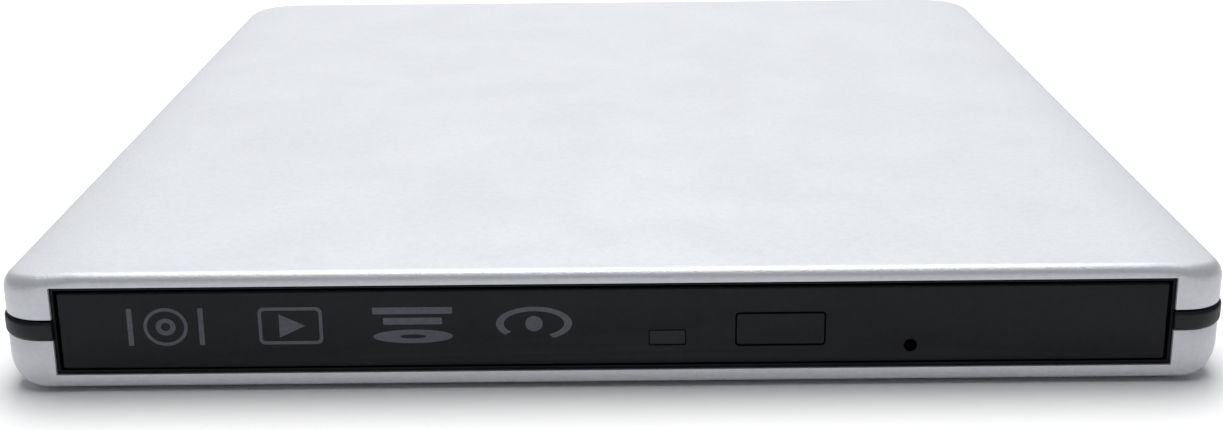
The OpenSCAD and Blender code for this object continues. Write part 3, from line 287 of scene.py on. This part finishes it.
def settle(piece, smooth=35):
    """Turns the piece's modifiers into plain geometry."""
    bpy.context.view_layer.update()
    shaped = bpy.data.meshes.new_from_object(piece.evaluated_get(bpy.context.evaluated_depsgraph_get()))
    piece.modifiers.clear()
    old = piece.data
    piece.data = shaped
    bpy.data.meshes.remove(old)
    shaped.polygons.foreach_set("use_smooth", [True] * len(shaped.polygons))
    shaped.set_sharp_from_angle(angle=radians(smooth))


def combine(piece, other, operation):
    """Cuts another solid out of the piece, or joins it on, and removes the other."""
    step = piece.modifiers.new(operation, "BOOLEAN")
    step.operation = operation
    step.solver = "EXACT"
    step.object = other
    settle(piece)
    bpy.data.objects.remove(other)


def soften(piece, width):
    """Rounds the piece's sharp edges a little, as a mould or a paint film does."""
    step = piece.modifiers.new("edges", "BEVEL")
    step.width = width * MM
    step.segments = 2
    step.limit_method = "ANGLE"
    step.angle_limit = radians(40)
    step.harden_normals = False
    step.use_clamp_overlap = True
    settle(piece, smooth=50)


def slab(name, low, high):
    """A plain block between two corners, used to cut or to join."""
    xs, ys, zs = zip(low, high)
    points = [(x, y, z) for x in xs for y in ys for z in zs]
    faces = [(0, 1, 3, 2), (4, 6, 7, 5), (0, 4, 5, 1), (2, 3, 7, 6), (0, 2, 6, 4), (1, 5, 7, 3)]
    return add_piece(name, points, faces)


def rounded_outline(half_x, half_y, r, steps=14, stops=()):
    """Points round a rectangle with rounded corners, anticlockwise from the middle of the right side."""
    points = []
    for quarter, (sx, sy) in enumerate([(1, 1), (-1, 1), (-1, -1), (1, -1)]):
        for i in range(steps + 1):
            a = quarter * pi / 2 + i / steps * pi / 2
            points.append((sx * (half_x - r) + r * cos(a), sy * (half_y - r) + r * sin(a)))
        if quarter in (0, 2):
            points += [((sx if quarter == 0 else -1) * (half_x - r) * s, sy * half_y) for s in stops]
    return points


def tube(name, sections, material=None, closed=False, caps=True, smooth=35):
    """A skin through a list of sections, each a list of as many points."""
    n = len(sections[0])
    points = [p for section in sections for p in section]
    faces = []
    rows = len(sections) if closed else len(sections) - 1
    for row in range(rows):
        a, b = row * n, (row + 1) % len(sections) * n
        faces += [(a + i, a + (i + 1) % n, b + (i + 1) % n, b + i) for i in range(n)]
    if caps and not closed:
        faces.append(tuple(range(n))[::-1])
        faces.append(tuple(range(len(points) - n, len(points))))
    return add_piece(name, points, faces, material, smooth)


def rod(name, centre, axis, r, length, steps=48):
    """A round bar that starts at centre and runs along axis, to cut or to join with."""
    turn = Vector(axis).to_track_quat("Z", "Y")
    rings = []
    for z in (0, length):
        ring = [turn @ Vector((r * cos(2 * pi * i / steps), r * sin(2 * pi * i / steps), z))
                for i in range(steps)]
        rings.append([Vector(centre) + p for p in ring])
    return tube(name, rings)


def shell_skin(name, rim_z, flat_z, side_w, side_h, edge_r, edge_grow, material, solid=False):
    """Skin of a shell: a side from rim_z, then a roof at flat_z that falls away towards its edges.
    The fall at a point is made of the side's curve and the edge's rounding, which run into each other.
    The rounding's radius grows by edge_grow from the middle to the sides. Without solid, the skin
    gets the shell's wall and stays open at the rim."""
    up = 1 if flat_z > rim_z else -1

    def fall(x, inset):
        s = min(max((abs(x) - (case_half_x - side_w)) / side_w, 0), 1)
        r = edge_r + edge_grow * s * s * (3 - 2 * s)
        e = min(max((r - inset) / r, 0), 1)
        side = side_h * (1 - sqrt(1 - s * s))
        edge = r * (1 - sqrt(1 - e * e))
        return (side ** blend_power + edge ** blend_power) ** (1 / blend_power)

    steps = sorted([side_w * (1 - cos(radians(a))) for a in range(30, 91, 5)]
                   + [edge_r * (1 - cos(radians(a))) for a in range(0, 91, 9)]
                   + [(edge_r + edge_grow) * (1 - cos(radians(a))) for a in range(54, 91, 9)])
    least_step = 0.04
    insets = [0]
    for step in steps:
        if step > insets[-1] + least_step:
            insets.append(step)
    side_start = 61.0
    stop_places = (62.4, side_start, 30, 0, -30, -side_start, -62.4)
    stops = [x / (case_half_x - plan_r) for x in stop_places]

    def ring(inset):
        corner_r = max(plan_r - inset, 0.8)
        return rounded_outline(case_half_x - inset, case_half_y - inset, corner_r, stops=stops)

    rings = [[(x, y, rim_z) for x, y in ring(0)]]
    for inset in insets:
        rings.append([(x, y, flat_z - up * fall(x, inset)) for x, y in ring(inset)])
    skin = tube(name, rings, material, caps=solid, smooth=60)
    if solid:
        return skin
    work = bmesh.new()
    work.from_mesh(skin.data)
    open_edges = [e for e in work.edges if e.is_boundary and abs(e.verts[0].co.z - flat_z * MM) < 1e-6]
    bmesh.ops.contextual_create(work, geom=open_edges)
    bmesh.ops.recalc_face_normals(work, faces=work.faces)
    work.to_mesh(skin.data)
    work.free()
    skin.data.polygons.foreach_set("use_smooth", [True] * len(skin.data.polygons))
    thick = skin.modifiers.new("wall", "SOLIDIFY")
    thick.thickness = wall * MM
    thick.offset = -1
    thick.use_even_offset = True
    settle(skin)
    work = bmesh.new()
    work.from_mesh(skin.data)
    if work.calc_volume(signed=True) < 0:
        bmesh.ops.reverse_faces(work, faces=work.faces)
        work.to_mesh(skin.data)
    work.free()
    return skin


satin_silver = finish(
    "satin_silver", (203, 205, 210), (196, 198, 203), (0.40, 0.46), metal=0.32, fine=3600,
    coarse=1500, relief=0.00008, strength=0.5,
)
screw_low, screw_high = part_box("case_screws")
head_r = 1.6
screw_x, screw_y = screw_high.x / MM - head_r, screw_high.y / MM - head_r
boss_r = 2.3
port_y = case_half_y + 1
usb_low, usb_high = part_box("usb_port")
jack_low, jack_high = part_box("power_jack")
usb_hole_x0, usb_hole_x1 = -34.05, -25.95
jack_x = (jack_low.x + jack_high.x) / 2 / MM
jack_z = jack_high.z / MM - (jack_high.x - jack_low.x) / 2 / MM
port_gap = 0.2
jack_hole_r = 2.55 + port_gap
back_cut = 3
corners = [(sx, sy) for sx in (-1, 1) for sy in (-1, 1)]


def usb_cut(depth):
    """A block as large as the hole for the USB socket, from outside the back wall to this depth in it."""
    return slab("cut", (usb_hole_x0, case_half_y - depth, usb_low.z / MM - port_gap),
                (usb_hole_x1, port_y, usb_high.z / MM + port_gap))


def cut_openings(shell):
    """The front opening for the drive, and the holes for the two sockets in the back."""
    combine(shell, slab("cut", (-opening_x, -case_half_y - 1, opening_z0),
                        (opening_x, -case_half_y + opening_depth, opening_z1)), "DIFFERENCE")
    combine(shell, usb_cut(back_cut - 1), "DIFFERENCE")
    combine(shell, rod("cut", (jack_x, port_y, jack_z), (0, -1, 0), jack_hole_r, back_cut), "DIFFERENCE")


lid = shell_skin("lid_shell", belt_top + seam, lid_top, shoulder_w, shoulder_h, lid_edge_r, lid_edge_grow,
                 satin_silver)
cut_openings(lid)
lid_boss_h = lid_top - 1 - belt_top
for sx, sy in corners:
    boss = rod("boss", (sx * screw_x, sy * screw_y, belt_top), (0, 0, 1), boss_r, lid_boss_h)
    combine(lid, boss, "UNION")
soften(lid, 0.14)
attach(lid, "enclosure")
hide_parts("top_shell")

# ---------------------------------------------------------------- Base
# The lower shell is moulded and painted like the lid. It has a full belly along its sides, thin
# edges front and back, a pocket for each foot and a counterbore for each screw.
base_foot = base_low.z / MM
belly_w = 6.5
belly_h = 5.0
lip_r = 0.6
belt_h = 2.3
base_rim = belt_top - belt_h
foot_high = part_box("rubber_feet")[1]
foot_r = 4.0
foot_x = foot_high.x / MM + joint_gap - foot_r
foot_y = foot_high.y / MM + joint_gap - foot_r
foot_pocket = 0.3
head_top = screw_low.z / MM + 1.15
shank_r = 0.95

base = shell_skin("base_shell", base_rim, base_foot, belly_w, belly_h, lip_r, 0, satin_silver)
cut_openings(base)
for sx, sy in corners:
    screw_at = (sx * screw_x, sy * screw_y)
    boss = rod("boss", (*screw_at, base_foot), (0, 0, 1), boss_r, belt_top - base_foot)
    body = shell_skin("body", belt_top + 1, base_foot + 0.02, belly_w, belly_h, lip_r, 0, None, solid=True)
    combine(boss, body, "INTERSECT")
    combine(base, boss, "UNION")
    for at, r, top in (
        ((sx * foot_x, sy * foot_y), foot_r, base_foot + foot_pocket),
        (screw_at, head_r + joint_gap, head_top),
        (screw_at, shank_r, belt_top + 1),
    ):
        combine(base, rod("cut", (*at, 0), (0, 0, 1), r, top), "DIFFERENCE")
soften(base, 0.12)
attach(base, "enclosure")
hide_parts("bottom_shell")

# ---------------------------------------------------------------- Belt and front frame
# One black moulding with a matt skin. A belt with rounded edges runs round the sides and back and
# its ends meet a frame that lines the front opening. A tongue behind it locates both shells.
belt_z0 = base_rim + joint_gap
belt_z1 = belt_top
proud = 0.25
belt_edge_r = 0.42
tongue_out = 0.95
tongue_in = 1.75
tongue_reach = 1.1
lining_wall = 0.4
lining_y0 = -case_half_y + 0.4
lining_y1 = lining_y0 + 3
belt_black = finish(
    "belt_black", (27, 29, 34), (18, 20, 24), (0.42, 0.56), fine=5200, coarse=1500,
    relief=0.00004, strength=0.5, specular=0.22,
)

profile = [(tongue_in, belt_z0 - tongue_reach), (tongue_out, belt_z0 - tongue_reach), (tongue_out, belt_z0)]
for i in range(7):
    a = i / 6 * pi / 2
    profile.append((-proud + belt_edge_r * (1 - sin(a)), belt_z0 + belt_edge_r * (1 - cos(a))))
for i in range(7):
    a = i / 6 * pi / 2
    profile.append((-proud + belt_edge_r * (1 - cos(a)), belt_z1 - belt_edge_r * (1 - sin(a))))
profile += [(tongue_out, belt_z1), (tongue_out, belt_z1 + tongue_reach), (tongue_in, belt_z1 + tongue_reach)]
belt = tube(
    "belt_frame",
    [[(x, y, z) for x, y in rounded_outline(case_half_x - t, case_half_y - t, plan_r - t, steps=24)]
     for t, z in profile],
    belt_black, closed=True,
)
belt_end_depth = 3.6
combine(belt, slab("cut", (-opening_x + joint_gap, -case_half_y - 1, 0),
                   (opening_x - joint_gap, -case_half_y + belt_end_depth, lid_top)), "DIFFERENCE")
combine(belt, usb_cut(back_cut), "DIFFERENCE")
combine(belt, rod("cut", (jack_x, port_y, jack_z), (0, -1, 0), jack_hole_r, back_cut + 1), "DIFFERENCE")
soften(belt, 0.06)
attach(belt, "enclosure")
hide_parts("mid_frame")

# The frame is the same moulding as the belt, but its black is darker than the belt's: painted shade for the
# shade inside the front opening.
frame_painted_shade_black = finish(
    "frame_painted_shade_black", (16, 17, 20), (11, 12, 14), (0.5, 0.62), fine=5200, coarse=1500,
    relief=0.00003, strength=0.4, specular=0.15,
)
lining_x = opening_x - 0.03
lining_z0, lining_z1 = opening_z0 + joint_gap, opening_z1 - joint_gap
inner_x = opening_x - lining_wall
lining = slab("front_frame", (-lining_x, lining_y0, lining_z0), (lining_x, lining_y1, lining_z1))
combine(lining, slab("cut", (-inner_x, -case_half_y - 1, lining_z0 + lining_wall),
                     (inner_x, lining_y1 + 1, lining_z1 - lining_wall)), "DIFFERENCE")
# The lining takes the darker black, which is painted shade for the opening's border.
lining.data.materials.clear()
lining.data.materials.append(frame_painted_shade_black)
soften(lining, 0.05)
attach(lining, "enclosure")
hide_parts("mid_frame")

# ---------------------------------------------------------------- Feet and case screws
# Four rubber discs with a rounded sole are glued into pockets in the base. Four steel screws
# with a cross slot sit in the counterbores between them.
sole_r = 0.35
feet_rubber = finish(
    "foot_rubber", (44, 44, 45), (30, 30, 31), (0.62, 0.78), fine=2600, coarse=400,
    relief=0.00005, strength=0.5,
)
foot_top = base_foot + foot_pocket - 0.01
foot_side = foot_r - joint_gap
foot_profile = [(foot_side - 2.2, 0.06), (foot_side - 1.6, 0.0)]
for k in range(7):
    a = radians(15 * k)
    foot_profile.append((foot_side - sole_r * (1 - sin(a)), sole_r * (1 - cos(a))))
foot_profile.append((foot_side, foot_top))
foot_places = (("front_left", -1, -1), ("front_right", 1, -1), ("back_left", -1, 1), ("back_right", 1, 1))
for name, sx, sy in foot_places:
    rings = []
    for r, z in foot_profile:
        rings.append([(sx * foot_x + r * cos(2 * pi * i / 48), sy * foot_y + r * sin(2 * pi * i / 48), z)
                      for i in range(48)])
    foot = tube(f"foot_{name}", rings, feet_rubber, smooth=30)
    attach(foot, "enclosure")
    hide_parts("rubber_feet")

screw_steel = finish(
    "screw_steel", (176, 177, 180), (140, 141, 145), (0.28, 0.42), metal=1.0, fine=3000,
    coarse=500, strength=0.15,
)
dress(screw_steel, "case_screws", "cover_screws", "bridge_screws", "tray_screws")

# ---------------------------------------------------------------- Bezel
# The tray's black front plate is moulded with a satin face and a small rounding all round. It is
# hollow behind, with holes for the eject button, the light and the emergency release.
bezel_low, bezel_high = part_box("tray_bezel")
button_low, button_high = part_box("eject_button")
light_low, light_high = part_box("light_guide")
bezel_half = bezel_high.x / MM
bezel_y0 = bezel_low.y / MM
bezel_y1 = bezel_high.y / MM
bezel_z0 = bezel_low.z / MM
bezel_z1 = bezel_high.z / MM
bezel_mid = (bezel_z0 + bezel_z1) / 2
bezel_plate = 1.8
bezel_edge = 0.3
bezel_black = finish(
    "bezel_black", (19, 21, 26), (14, 16, 20), (0.34, 0.46), fine=5200, coarse=1400,
    relief=0.00002, strength=0.25, specular=0.16,
)


def plate(name, centre, half, r, y0, y1, edge, material=None):
    """A plate that faces the front, with rounded corners and a rounded front edge."""
    def section(inset, corner_r, y):
        outline = rounded_outline(half[0] - inset, half[1] - inset, corner_r, 6)
        return [(centre[0] + x, y, centre[1] + z) for x, z in outline]

    sections = []
    for k in range(5):
        a = k / 4 * pi / 2
        inset = edge * (1 - sin(a))
        sections.append(section(inset, max(r - inset, 0.02), y0 + edge * (1 - cos(a))))
    sections.append(section(0, r, y1))
    return tube(name, sections, material)


def face_box(low, high):
    """Centre and half size, across and up, of a box seen from the front."""
    centre = ((low.x + high.x) / 2 / MM, (low.z + high.z) / 2 / MM)
    return centre, ((high.x - low.x) / 2 / MM, (high.z - low.z) / 2 / MM)


button_at, button_half = face_box(button_low, button_high)
button_gap = 0.12
light_at, light_half = face_box(light_low, light_high)
pinhole_x, pinhole_z, pinhole_r = 34.4, bezel_mid - 2.7, 0.75
bezel_side_wall = 1.2
bezel_rim = 1

bezel = plate("bezel", (0, bezel_mid), (bezel_half, (bezel_z1 - bezel_z0) / 2), 0.35, bezel_y0, bezel_y1,
              bezel_edge, bezel_black)
combine(bezel, slab("cut", (-bezel_half + bezel_side_wall, bezel_y0 + bezel_plate, bezel_z0 + bezel_rim),
                    (bezel_half - bezel_side_wall, bezel_y1 + 1, bezel_z1 - bezel_rim)), "DIFFERENCE")
for centre, half, gap, r in (
    (button_at, button_half, button_gap, 0.45),
    (light_at, light_half, joint_gap, 0.2),
):
    hole = plate("cut", centre, (half[0] + gap, half[1] + gap), r, bezel_y0 - 1, bezel_y1, 0.01)
    combine(bezel, hole, "DIFFERENCE")
combine(bezel, rod("cut", (pinhole_x, bezel_y0 - 1, pinhole_z), (0, 1, 0), pinhole_r, 5), "DIFFERENCE")
soften(bezel, 0.07)
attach(bezel, "tray")
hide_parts("tray_bezel")

# ---------------------------------------------------------------- Printed signs
# Four plain signs are printed in grey ink on the left half of the bezel: a ringed disc, a framed
# arrow, a pair of bars over an oval, and a split ring. Each is a film of ink on the face.
sign_ink = finish(
    "sign_ink", (68, 72, 83), (54, 58, 68), (0.42, 0.55), fine=6000, coarse=1500, relief=0.000004,
    strength=0.2,
)
ink_t = 0.015
ink_y = bezel_y0 - ink_t + 0.005


def print_sign(name, loops):
    """Flat shapes on the bezel's face. Each shape is a list of (outer, inner) outlines of equal length."""
    points, faces = [], []
    for outer, inner in loops:
        n = len(outer)
        start = len(points)
        for y in (ink_y, ink_y + ink_t):
            points += [(x, y, z) for x, z in outer]
            points += [(x, y, z) for x, z in inner]
        for i in range(n):
            j = (i + 1) % n
            o, p, q = start, start + n, start + 2 * n
            faces.append((o + i, o + j, p + j, p + i))
            faces.append((q + i, q + n + i, q + n + j, q + j))
            faces.append((o + i, q + i, q + j, o + j))
            faces.append((p + i, p + j, q + n + j, q + n + i))
    sign = add_piece(name, points, faces, sign_ink)
    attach(sign, "tray")


def oval(x, z, half_x, half_z):
    return [(x + half_x * cos(2 * pi * i / 48), z + half_z * sin(2 * pi * i / 48)) for i in range(48)]


def box_loop(x, z, half_x, half_z, r):
    return [(x + px, z + pz) for px, pz in rounded_outline(half_x, half_z, r, 5)]


def filled(loop):
    """The outline with an inner one drawn in to almost nothing, so that the shape looks solid."""
    share = 0.02
    cx = sum(p[0] for p in loop) / len(loop)
    cz = sum(p[1] for p in loop) / len(loop)
    return loop, [(cx + (x - cx) * share, cz + (z - cz) * share) for x, z in loop]


sign_z = bezel_mid + 0.45
disc_x, arrow_x, bars_x, ring_x = -51.7, -37.3, -23.2, -9.2
print_sign("sign_disc", [
    (oval(disc_x, sign_z, 2.55, 2.35), oval(disc_x, sign_z, 2.15, 1.95)),
    (oval(disc_x, sign_z, 1.15, 1.05), oval(disc_x, sign_z, 0.55, 0.5)),
    filled(box_loop(disc_x + 4.1, sign_z, 0.3, 2.3, 0.1)),
    filled(box_loop(disc_x - 4.1, sign_z, 0.3, 2.3, 0.1)),
])
arrow = [(arrow_x - 1.3 + 3.0 * t, sign_z + 1.45 * (1 - t)) for t in [k / 8 for k in range(9)]]
arrow += [(arrow_x + 1.7 - 3.0 * t, sign_z - 1.45 * t) for t in [k / 8 for k in range(1, 9)]]
arrow += [(arrow_x - 1.3, sign_z - 1.45 + 2.9 * t) for t in [k / 8 for k in range(1, 8)]]
print_sign("sign_arrow", [
    (box_loop(arrow_x, sign_z, 3.7, 2.3, 0.7), box_loop(arrow_x, sign_z, 3.3, 1.9, 0.4)),
    filled(arrow),
])
print_sign("sign_bars", [
    filled(box_loop(bars_x, sign_z + 1.75, 4.6, 0.42, 0.15)),
    filled(box_loop(bars_x, sign_z + 0.45, 3.4, 0.42, 0.15)),
    (oval(bars_x, sign_z - 1.45, 4.6, 0.85), oval(bars_x, sign_z - 1.45, 1.5, 0.25)),
])
turns = [radians(a) for a in range(-60, 221, 10)]
ring_out = [(ring_x + 4.4 * cos(a), sign_z + 2.1 * sin(a)) for a in turns]
ring_in = [(ring_x + 3.5 * cos(a), sign_z + 1.55 * sin(a)) for a in turns]
middle = [((a[0] + b[0]) / 2, (a[1] + b[1]) / 2) for a, b in zip(ring_out, ring_in)]
print_sign("sign_ring", [
    (ring_out + ring_in[::-1], middle + middle[::-1]),
    filled(oval(ring_x, sign_z, 1.0, 0.95)),
])

# ---------------------------------------------------------------- Eject button
# A black cap moulded like the bezel stands flush in its hole, with an even gap round it. A stem
# behind it reaches the switch on the front board.
button_x, button_z = button_at
button = plate("eject_cap", button_at, button_half, 0.35, bezel_y0 + 0.005, bezel_y0 + bezel_plate + 0.8,
               0.16, bezel_black)
combine(button, slab("stem", (button_x - 1, bezel_y0 + bezel_plate, button_z - 1),
                     (button_x + 1, button_high.y / MM, button_z + 0.5)), "UNION")
soften(button, 0.05)
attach(button, "eject_button")
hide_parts("eject_button")

# ---------------------------------------------------------------- Light window
# A smoked clear bar, moulded and pushed into its hole from behind, carries the light from the
# little lamp on the front board to the bezel's face.
window_smoke = finish(
    "window_smoke", (27, 29, 33), (22, 24, 28), (0.2, 0.3), fine=900, coarse=200, strength=0.1,
    specular=0.14,
)
window_smoke.node_tree.nodes["Principled BSDF"].inputs["Transmission Weight"].default_value = 0.15
window = plate("light_window", light_at, light_half, 0.18, light_low.y / MM, light_high.y / MM, 0.1,
               window_smoke)
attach(window, "tray")
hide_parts("light_guide")

# ---------------------------------------------------------------- Tray and front electronics
# The tray is one black moulding with a fine spark-eroded skin. The eject switch and the lamp are
# soldered to a small board behind the bezel, under green mask like the drive's other boards.
tray_black = finish(
    "tray_black", (32, 33, 36), (23, 24, 26), (0.36, 0.5), fine=3600, coarse=260, relief=0.00004,
    strength=0.4, specular=0.25,
)
dress(tray_black, "tray_body")
switch_tin = finish(
    "switch_tin", (200, 201, 203), (168, 169, 172), (0.25, 0.4), metal=1.0, fine=5000, coarse=120,
    lines=True,
)
dress(switch_tin, "eject_switch")
lamp_resin = finish(
    "lamp_resin", (232, 230, 205), (214, 210, 180), (0.12, 0.2), fine=800, coarse=300, coat=0.5,
)
dress(lamp_resin, "status_led")


def board_finish(name, mask, track, across):
    """Green solder mask over a maze of copper tracks."""
    material = finish(name, mask, [c * 0.8 for c in mask], (0.25, 0.38), fine=4000, coarse=300, coat=0.3)
    nodes, links = material.node_tree.nodes, material.node_tree.links
    shader = nodes["Principled BSDF"]
    under = shader.inputs["Base Color"].links[0].from_socket
    place = nodes.new("ShaderNodeTexCoord")
    cells = nodes.new("ShaderNodeTexVoronoi")
    cells.distance = "CHEBYCHEV"
    cells.feature = "F1"
    cells.inputs["Scale"].default_value = across
    rings = nodes.new("ShaderNodeMath")
    rings.operation = "PINGPONG"
    rings.inputs[1].default_value = 0.09
    edge = nodes.new("ShaderNodeMath")
    edge.operation = "GREATER_THAN"
    edge.inputs[1].default_value = 0.055
    tracks = nodes.new("ShaderNodeMix")
    tracks.data_type = "RGBA"
    tracks.inputs["B"].default_value = colour(track)
    links.new(place.outputs["Object"], cells.inputs["Vector"])
    links.new(cells.outputs["Distance"], rings.inputs[0])
    links.new(rings.outputs[0], edge.inputs[0])
    links.new(edge.outputs[0], tracks.inputs["Factor"])
    links.new(under, tracks.inputs["A"])
    links.new(tracks.outputs["Result"], shader.inputs["Base Color"])
    return material


board_green = board_finish("board_green", (18, 84, 52), (44, 122, 78), 260)
dress(board_green, "front_board", "main_board", "bridge_board")

# ---------------------------------------------------------------- Sheet-metal drive body
# The pan and the cover are pressed from plated sheet steel, the shield from thin aluminium. Fine
# rolling lines run front to back.
plated_sheet = finish(
    "plated_sheet", (152, 154, 158), (132, 134, 139), (0.3, 0.42), metal=1.0, fine=7000,
    coarse=70, lines=True, strength=0.12,
)
dress(plated_sheet, "drive_pan", "drive_cover", "tray_shield")
slide_steel = finish(
    "slide_steel", (158, 159, 162), (138, 140, 144), (0.22, 0.36), metal=1.0, fine=8000,
    coarse=60, lines=True, strength=0.1,
)
dress(slide_steel, "left_rail", "right_rail", "catch_post")
slide_plastic = finish(
    "slide_plastic", (204, 202, 194), (188, 186, 176), (0.4, 0.52), fine=3000, coarse=250,
    strength=0.3,
)
dress(slide_plastic, "left_guide", "right_guide", "release_slider", "latch_lever", "screw_nut", "hub_pawls")
strip_foam = finish(
    "strip_foam", (70, 70, 72), (44, 44, 46), (0.8, 0.95), fine=1500, coarse=700, relief=0.0002,
    strength=0.8,
)
dress(strip_foam, "foam_pads")

# ---------------------------------------------------------------- Spindle
# A pressed steel rotor turns round nine wound poles. Its turntable carries a rubber ring, and the
# hub's three sprung pawls hold the disc.
rotor_steel = finish(
    "rotor_steel", (148, 149, 153), (126, 128, 133), (0.26, 0.38), metal=1.0, fine=5000,
    coarse=400, strength=0.12,
)
dress(rotor_steel, "spindle_rotor", "sled_motor")
coil_copper = finish(
    "coil_copper", (196, 128, 76), (140, 84, 44), (0.3, 0.45), metal=0.9, fine=5200, coarse=900,
    strength=0.5,
)
dress(coil_copper, "spindle_stator", "solenoid_body")
pad_rubber = finish(
    "pad_rubber", (52, 52, 53), (38, 38, 39), (0.6, 0.75), fine=2400, coarse=500, strength=0.5,
)
dress(pad_rubber, "turntable_pad", "deck_dampers")

# ---------------------------------------------------------------- Deck, rods and sled
# A stamped deck holds two ground rods and a grooved lead screw. The cast sled rides on the rods and
# carries the sprung lens holder with its magnets and its coated lens.
deck_steel = finish(
    "deck_steel", (104, 106, 110), (86, 88, 92), (0.34, 0.46), metal=0.9, fine=2600, coarse=200,
    strength=0.2,
)
dress(deck_steel, "deck_plate")
ground_steel = finish(
    "ground_steel", (172, 173, 176), (152, 153, 157), (0.12, 0.22), metal=1.0, fine=6000,
    coarse=500, strength=0.08,
)
dress(ground_steel, "main_guide_rod", "sub_guide_rod", "lead_screw", "solenoid_plunger")
cast_zinc = finish(
    "cast_zinc", (108, 109, 113), (88, 89, 93), (0.42, 0.58), metal=0.85, fine=1800, coarse=420,
    relief=0.00006, strength=0.45,
)
dress(cast_zinc, "pickup_body", "pickup_magnets")
holder_black = finish(
    "holder_black", (36, 36, 38), (24, 24, 26), (0.4, 0.55), fine=3400, coarse=500, strength=0.3,
)
dress(holder_black, "lens_holder", "rod_clips")
lens_glass = finish(
    "lens_glass", (120, 140, 190), (96, 110, 160), (0.04, 0.08), fine=500, coarse=120,
    strength=0.02, coat=1.0,
)
lens_shader = lens_glass.node_tree.nodes["Principled BSDF"]
lens_shader.inputs["Transmission Weight"].default_value = 0.6
lens_shader.inputs["IOR"].default_value = 1.5
dress(lens_glass, "objective_lens")

# ---------------------------------------------------------------- Boards and sockets
# The drive's own board, the small bridge board behind it, their chips and plugs, and the two
# sockets in the back wall: a plated steel shell with a contact tongue, and a round one with a pin.
chip_resin = finish(
    "chip_resin", (44, 44, 46), (30, 30, 32), (0.45, 0.6), fine=4200, coarse=900, strength=0.35,
)
dress(chip_resin, "controller_chip", "driver_chip", "bridge_chip")
part_tin = finish(
    "part_tin", (190, 176, 150), (150, 136, 112), (0.3, 0.5), metal=0.4, fine=3000, coarse=800,
)
dress(part_tin, "bridge_components")
plug_black = finish(
    "plug_black", (38, 38, 40), (26, 26, 28), (0.35, 0.5), fine=3000, coarse=400, strength=0.25,
)
dress(plug_black, "drive_plug", "drive_socket", "power_jack", "usb_tongue", "ribbon_connector")
gold_plate = finish(
    "gold_plate", (222, 184, 104), (196, 156, 80), (0.15, 0.28), metal=1.0, fine=4000, coarse=500,
)
dress(gold_plate, "power_jack_pin")
socket_steel = finish(
    "socket_steel", (206, 207, 210), (180, 181, 185), (0.2, 0.32), metal=1.0, fine=7000,
    coarse=90, lines=True, strength=0.1,
)
dress(socket_steel, "usb_port")

# ---------------------------------------------------------------- Ribbon cable
# A flat film cable with printed copper lines joins the fixed board to the tray. It lies on the
# pan, turns back on itself in one fold and hangs on under the tray, and the fold rolls as it opens.
ribbon_low, ribbon_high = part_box("ribbon_lower")
upper_low, upper_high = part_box("ribbon_upper")
film = finish(
    "ribbon_film", (226, 222, 206), (206, 200, 178), (0.3, 0.42), fine=1600, coarse=500,
    strength=0.1,
)
film_nodes, film_links = film.node_tree.nodes, film.node_tree.links
film_place = film_nodes.new("ShaderNodeTexCoord")
film_lines = film_nodes.new("ShaderNodeTexWave")
film_lines.wave_type = "BANDS"
film_lines.bands_direction = "X"
film_lines.inputs["Scale"].default_value = 310
film_mix = film_nodes.new("ShaderNodeMix")
film_mix.data_type = "RGBA"
film_mix.inputs["B"].default_value = colour((196, 170, 120))
film_shader = film_nodes["Principled BSDF"]
film_under = film_shader.inputs["Base Color"].links[0].from_socket
film_links.new(film_place.outputs["Object"], film_lines.inputs["Vector"])
film_links.new(film_lines.outputs["Fac"], film_mix.inputs["Factor"])
film_links.new(film_under, film_mix.inputs["A"])
film_links.new(film_mix.outputs["Result"], film_shader.inputs["Base Color"])

film_t = 0.1
film_x0, film_x1 = ribbon_low.x / MM, ribbon_high.x / MM
fold_y = ribbon_low.y / MM
run_z = ribbon_low.z / MM + film_t / 2
hang_z = upper_low.z / MM + film_t / 2
fold_r = (hang_z - run_z) / 2
fold_centre = (hang_z + run_z) / 2
socket_y = ribbon_high.y / MM
socket_z = ribbon_high.z / MM - film_t / 2
tray_end = upper_high.y / MM
tray_under = upper_high.z / MM


def film_strip(name, line, normals):
    """A strip of film as wide as the cable that follows a line of (y, z) points."""
    half_t = film_t / 2
    section = [(y + n[0] * half_t, z + n[1] * half_t) for (y, z), n in zip(line, normals)]
    section += [(y - n[0] * half_t, z - n[1] * half_t) for (y, z), n in zip(line[::-1], normals[::-1])]
    strip = tube(name, [[(x, y, z) for y, z in section] for x in (film_x0, film_x1)], film)
    return strip


run_start = socket_y - 7
lower = film_strip(
    "ribbon_on_pan",
    [(socket_y, socket_z), (socket_y - 4, socket_z), (run_start, run_z), (fold_y, run_z)],
    [(0, 1)] * 4,
)
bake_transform(lower)
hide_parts("ribbon_lower")
fold_turns = [radians(-90 - 12 * k) for k in range(16)]
fold = film_strip(
    "ribbon_turn",
    [(fold_y + fold_r * cos(a), fold_centre + fold_r * sin(a)) for a in fold_turns],
    [(cos(a), sin(a)) for a in fold_turns],
)
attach(fold, "slide_rails")
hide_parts("ribbon_fold")
upper = film_strip(
    "ribbon_under_tray",
    [(fold_y, hang_z), (tray_end - film_t / 2, hang_z), (tray_end - film_t / 2, tray_under)],
    [(0, 1), (-0.7, 0.7), (-1, 0)],
)
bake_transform(upper)
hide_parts("ribbon_upper")

# ---------------------------------------------------------------- Floor
# A sheet of matt white paper with a faint grain lies flat on the table, larger than any view
# reaches. It isn't part of the drive.
floor_half = 3.0
floor_mesh = bpy.data.meshes.new("floor")
floor_mesh.from_pydata(
    [(-floor_half, -floor_half, 0), (floor_half, -floor_half, 0),
     (floor_half, floor_half, 0), (-floor_half, floor_half, 0)],
    [], [(0, 1, 2, 3)],
)
floor = bpy.data.objects.new("floor", floor_mesh)
bpy.context.scene.collection.objects.link(floor)
floor_mesh.materials.append(
    finish("pale_floor", (253, 253, 253), (250, 250, 251), (0.6, 0.7), fine=900, coarse=6, strength=0.02)
)
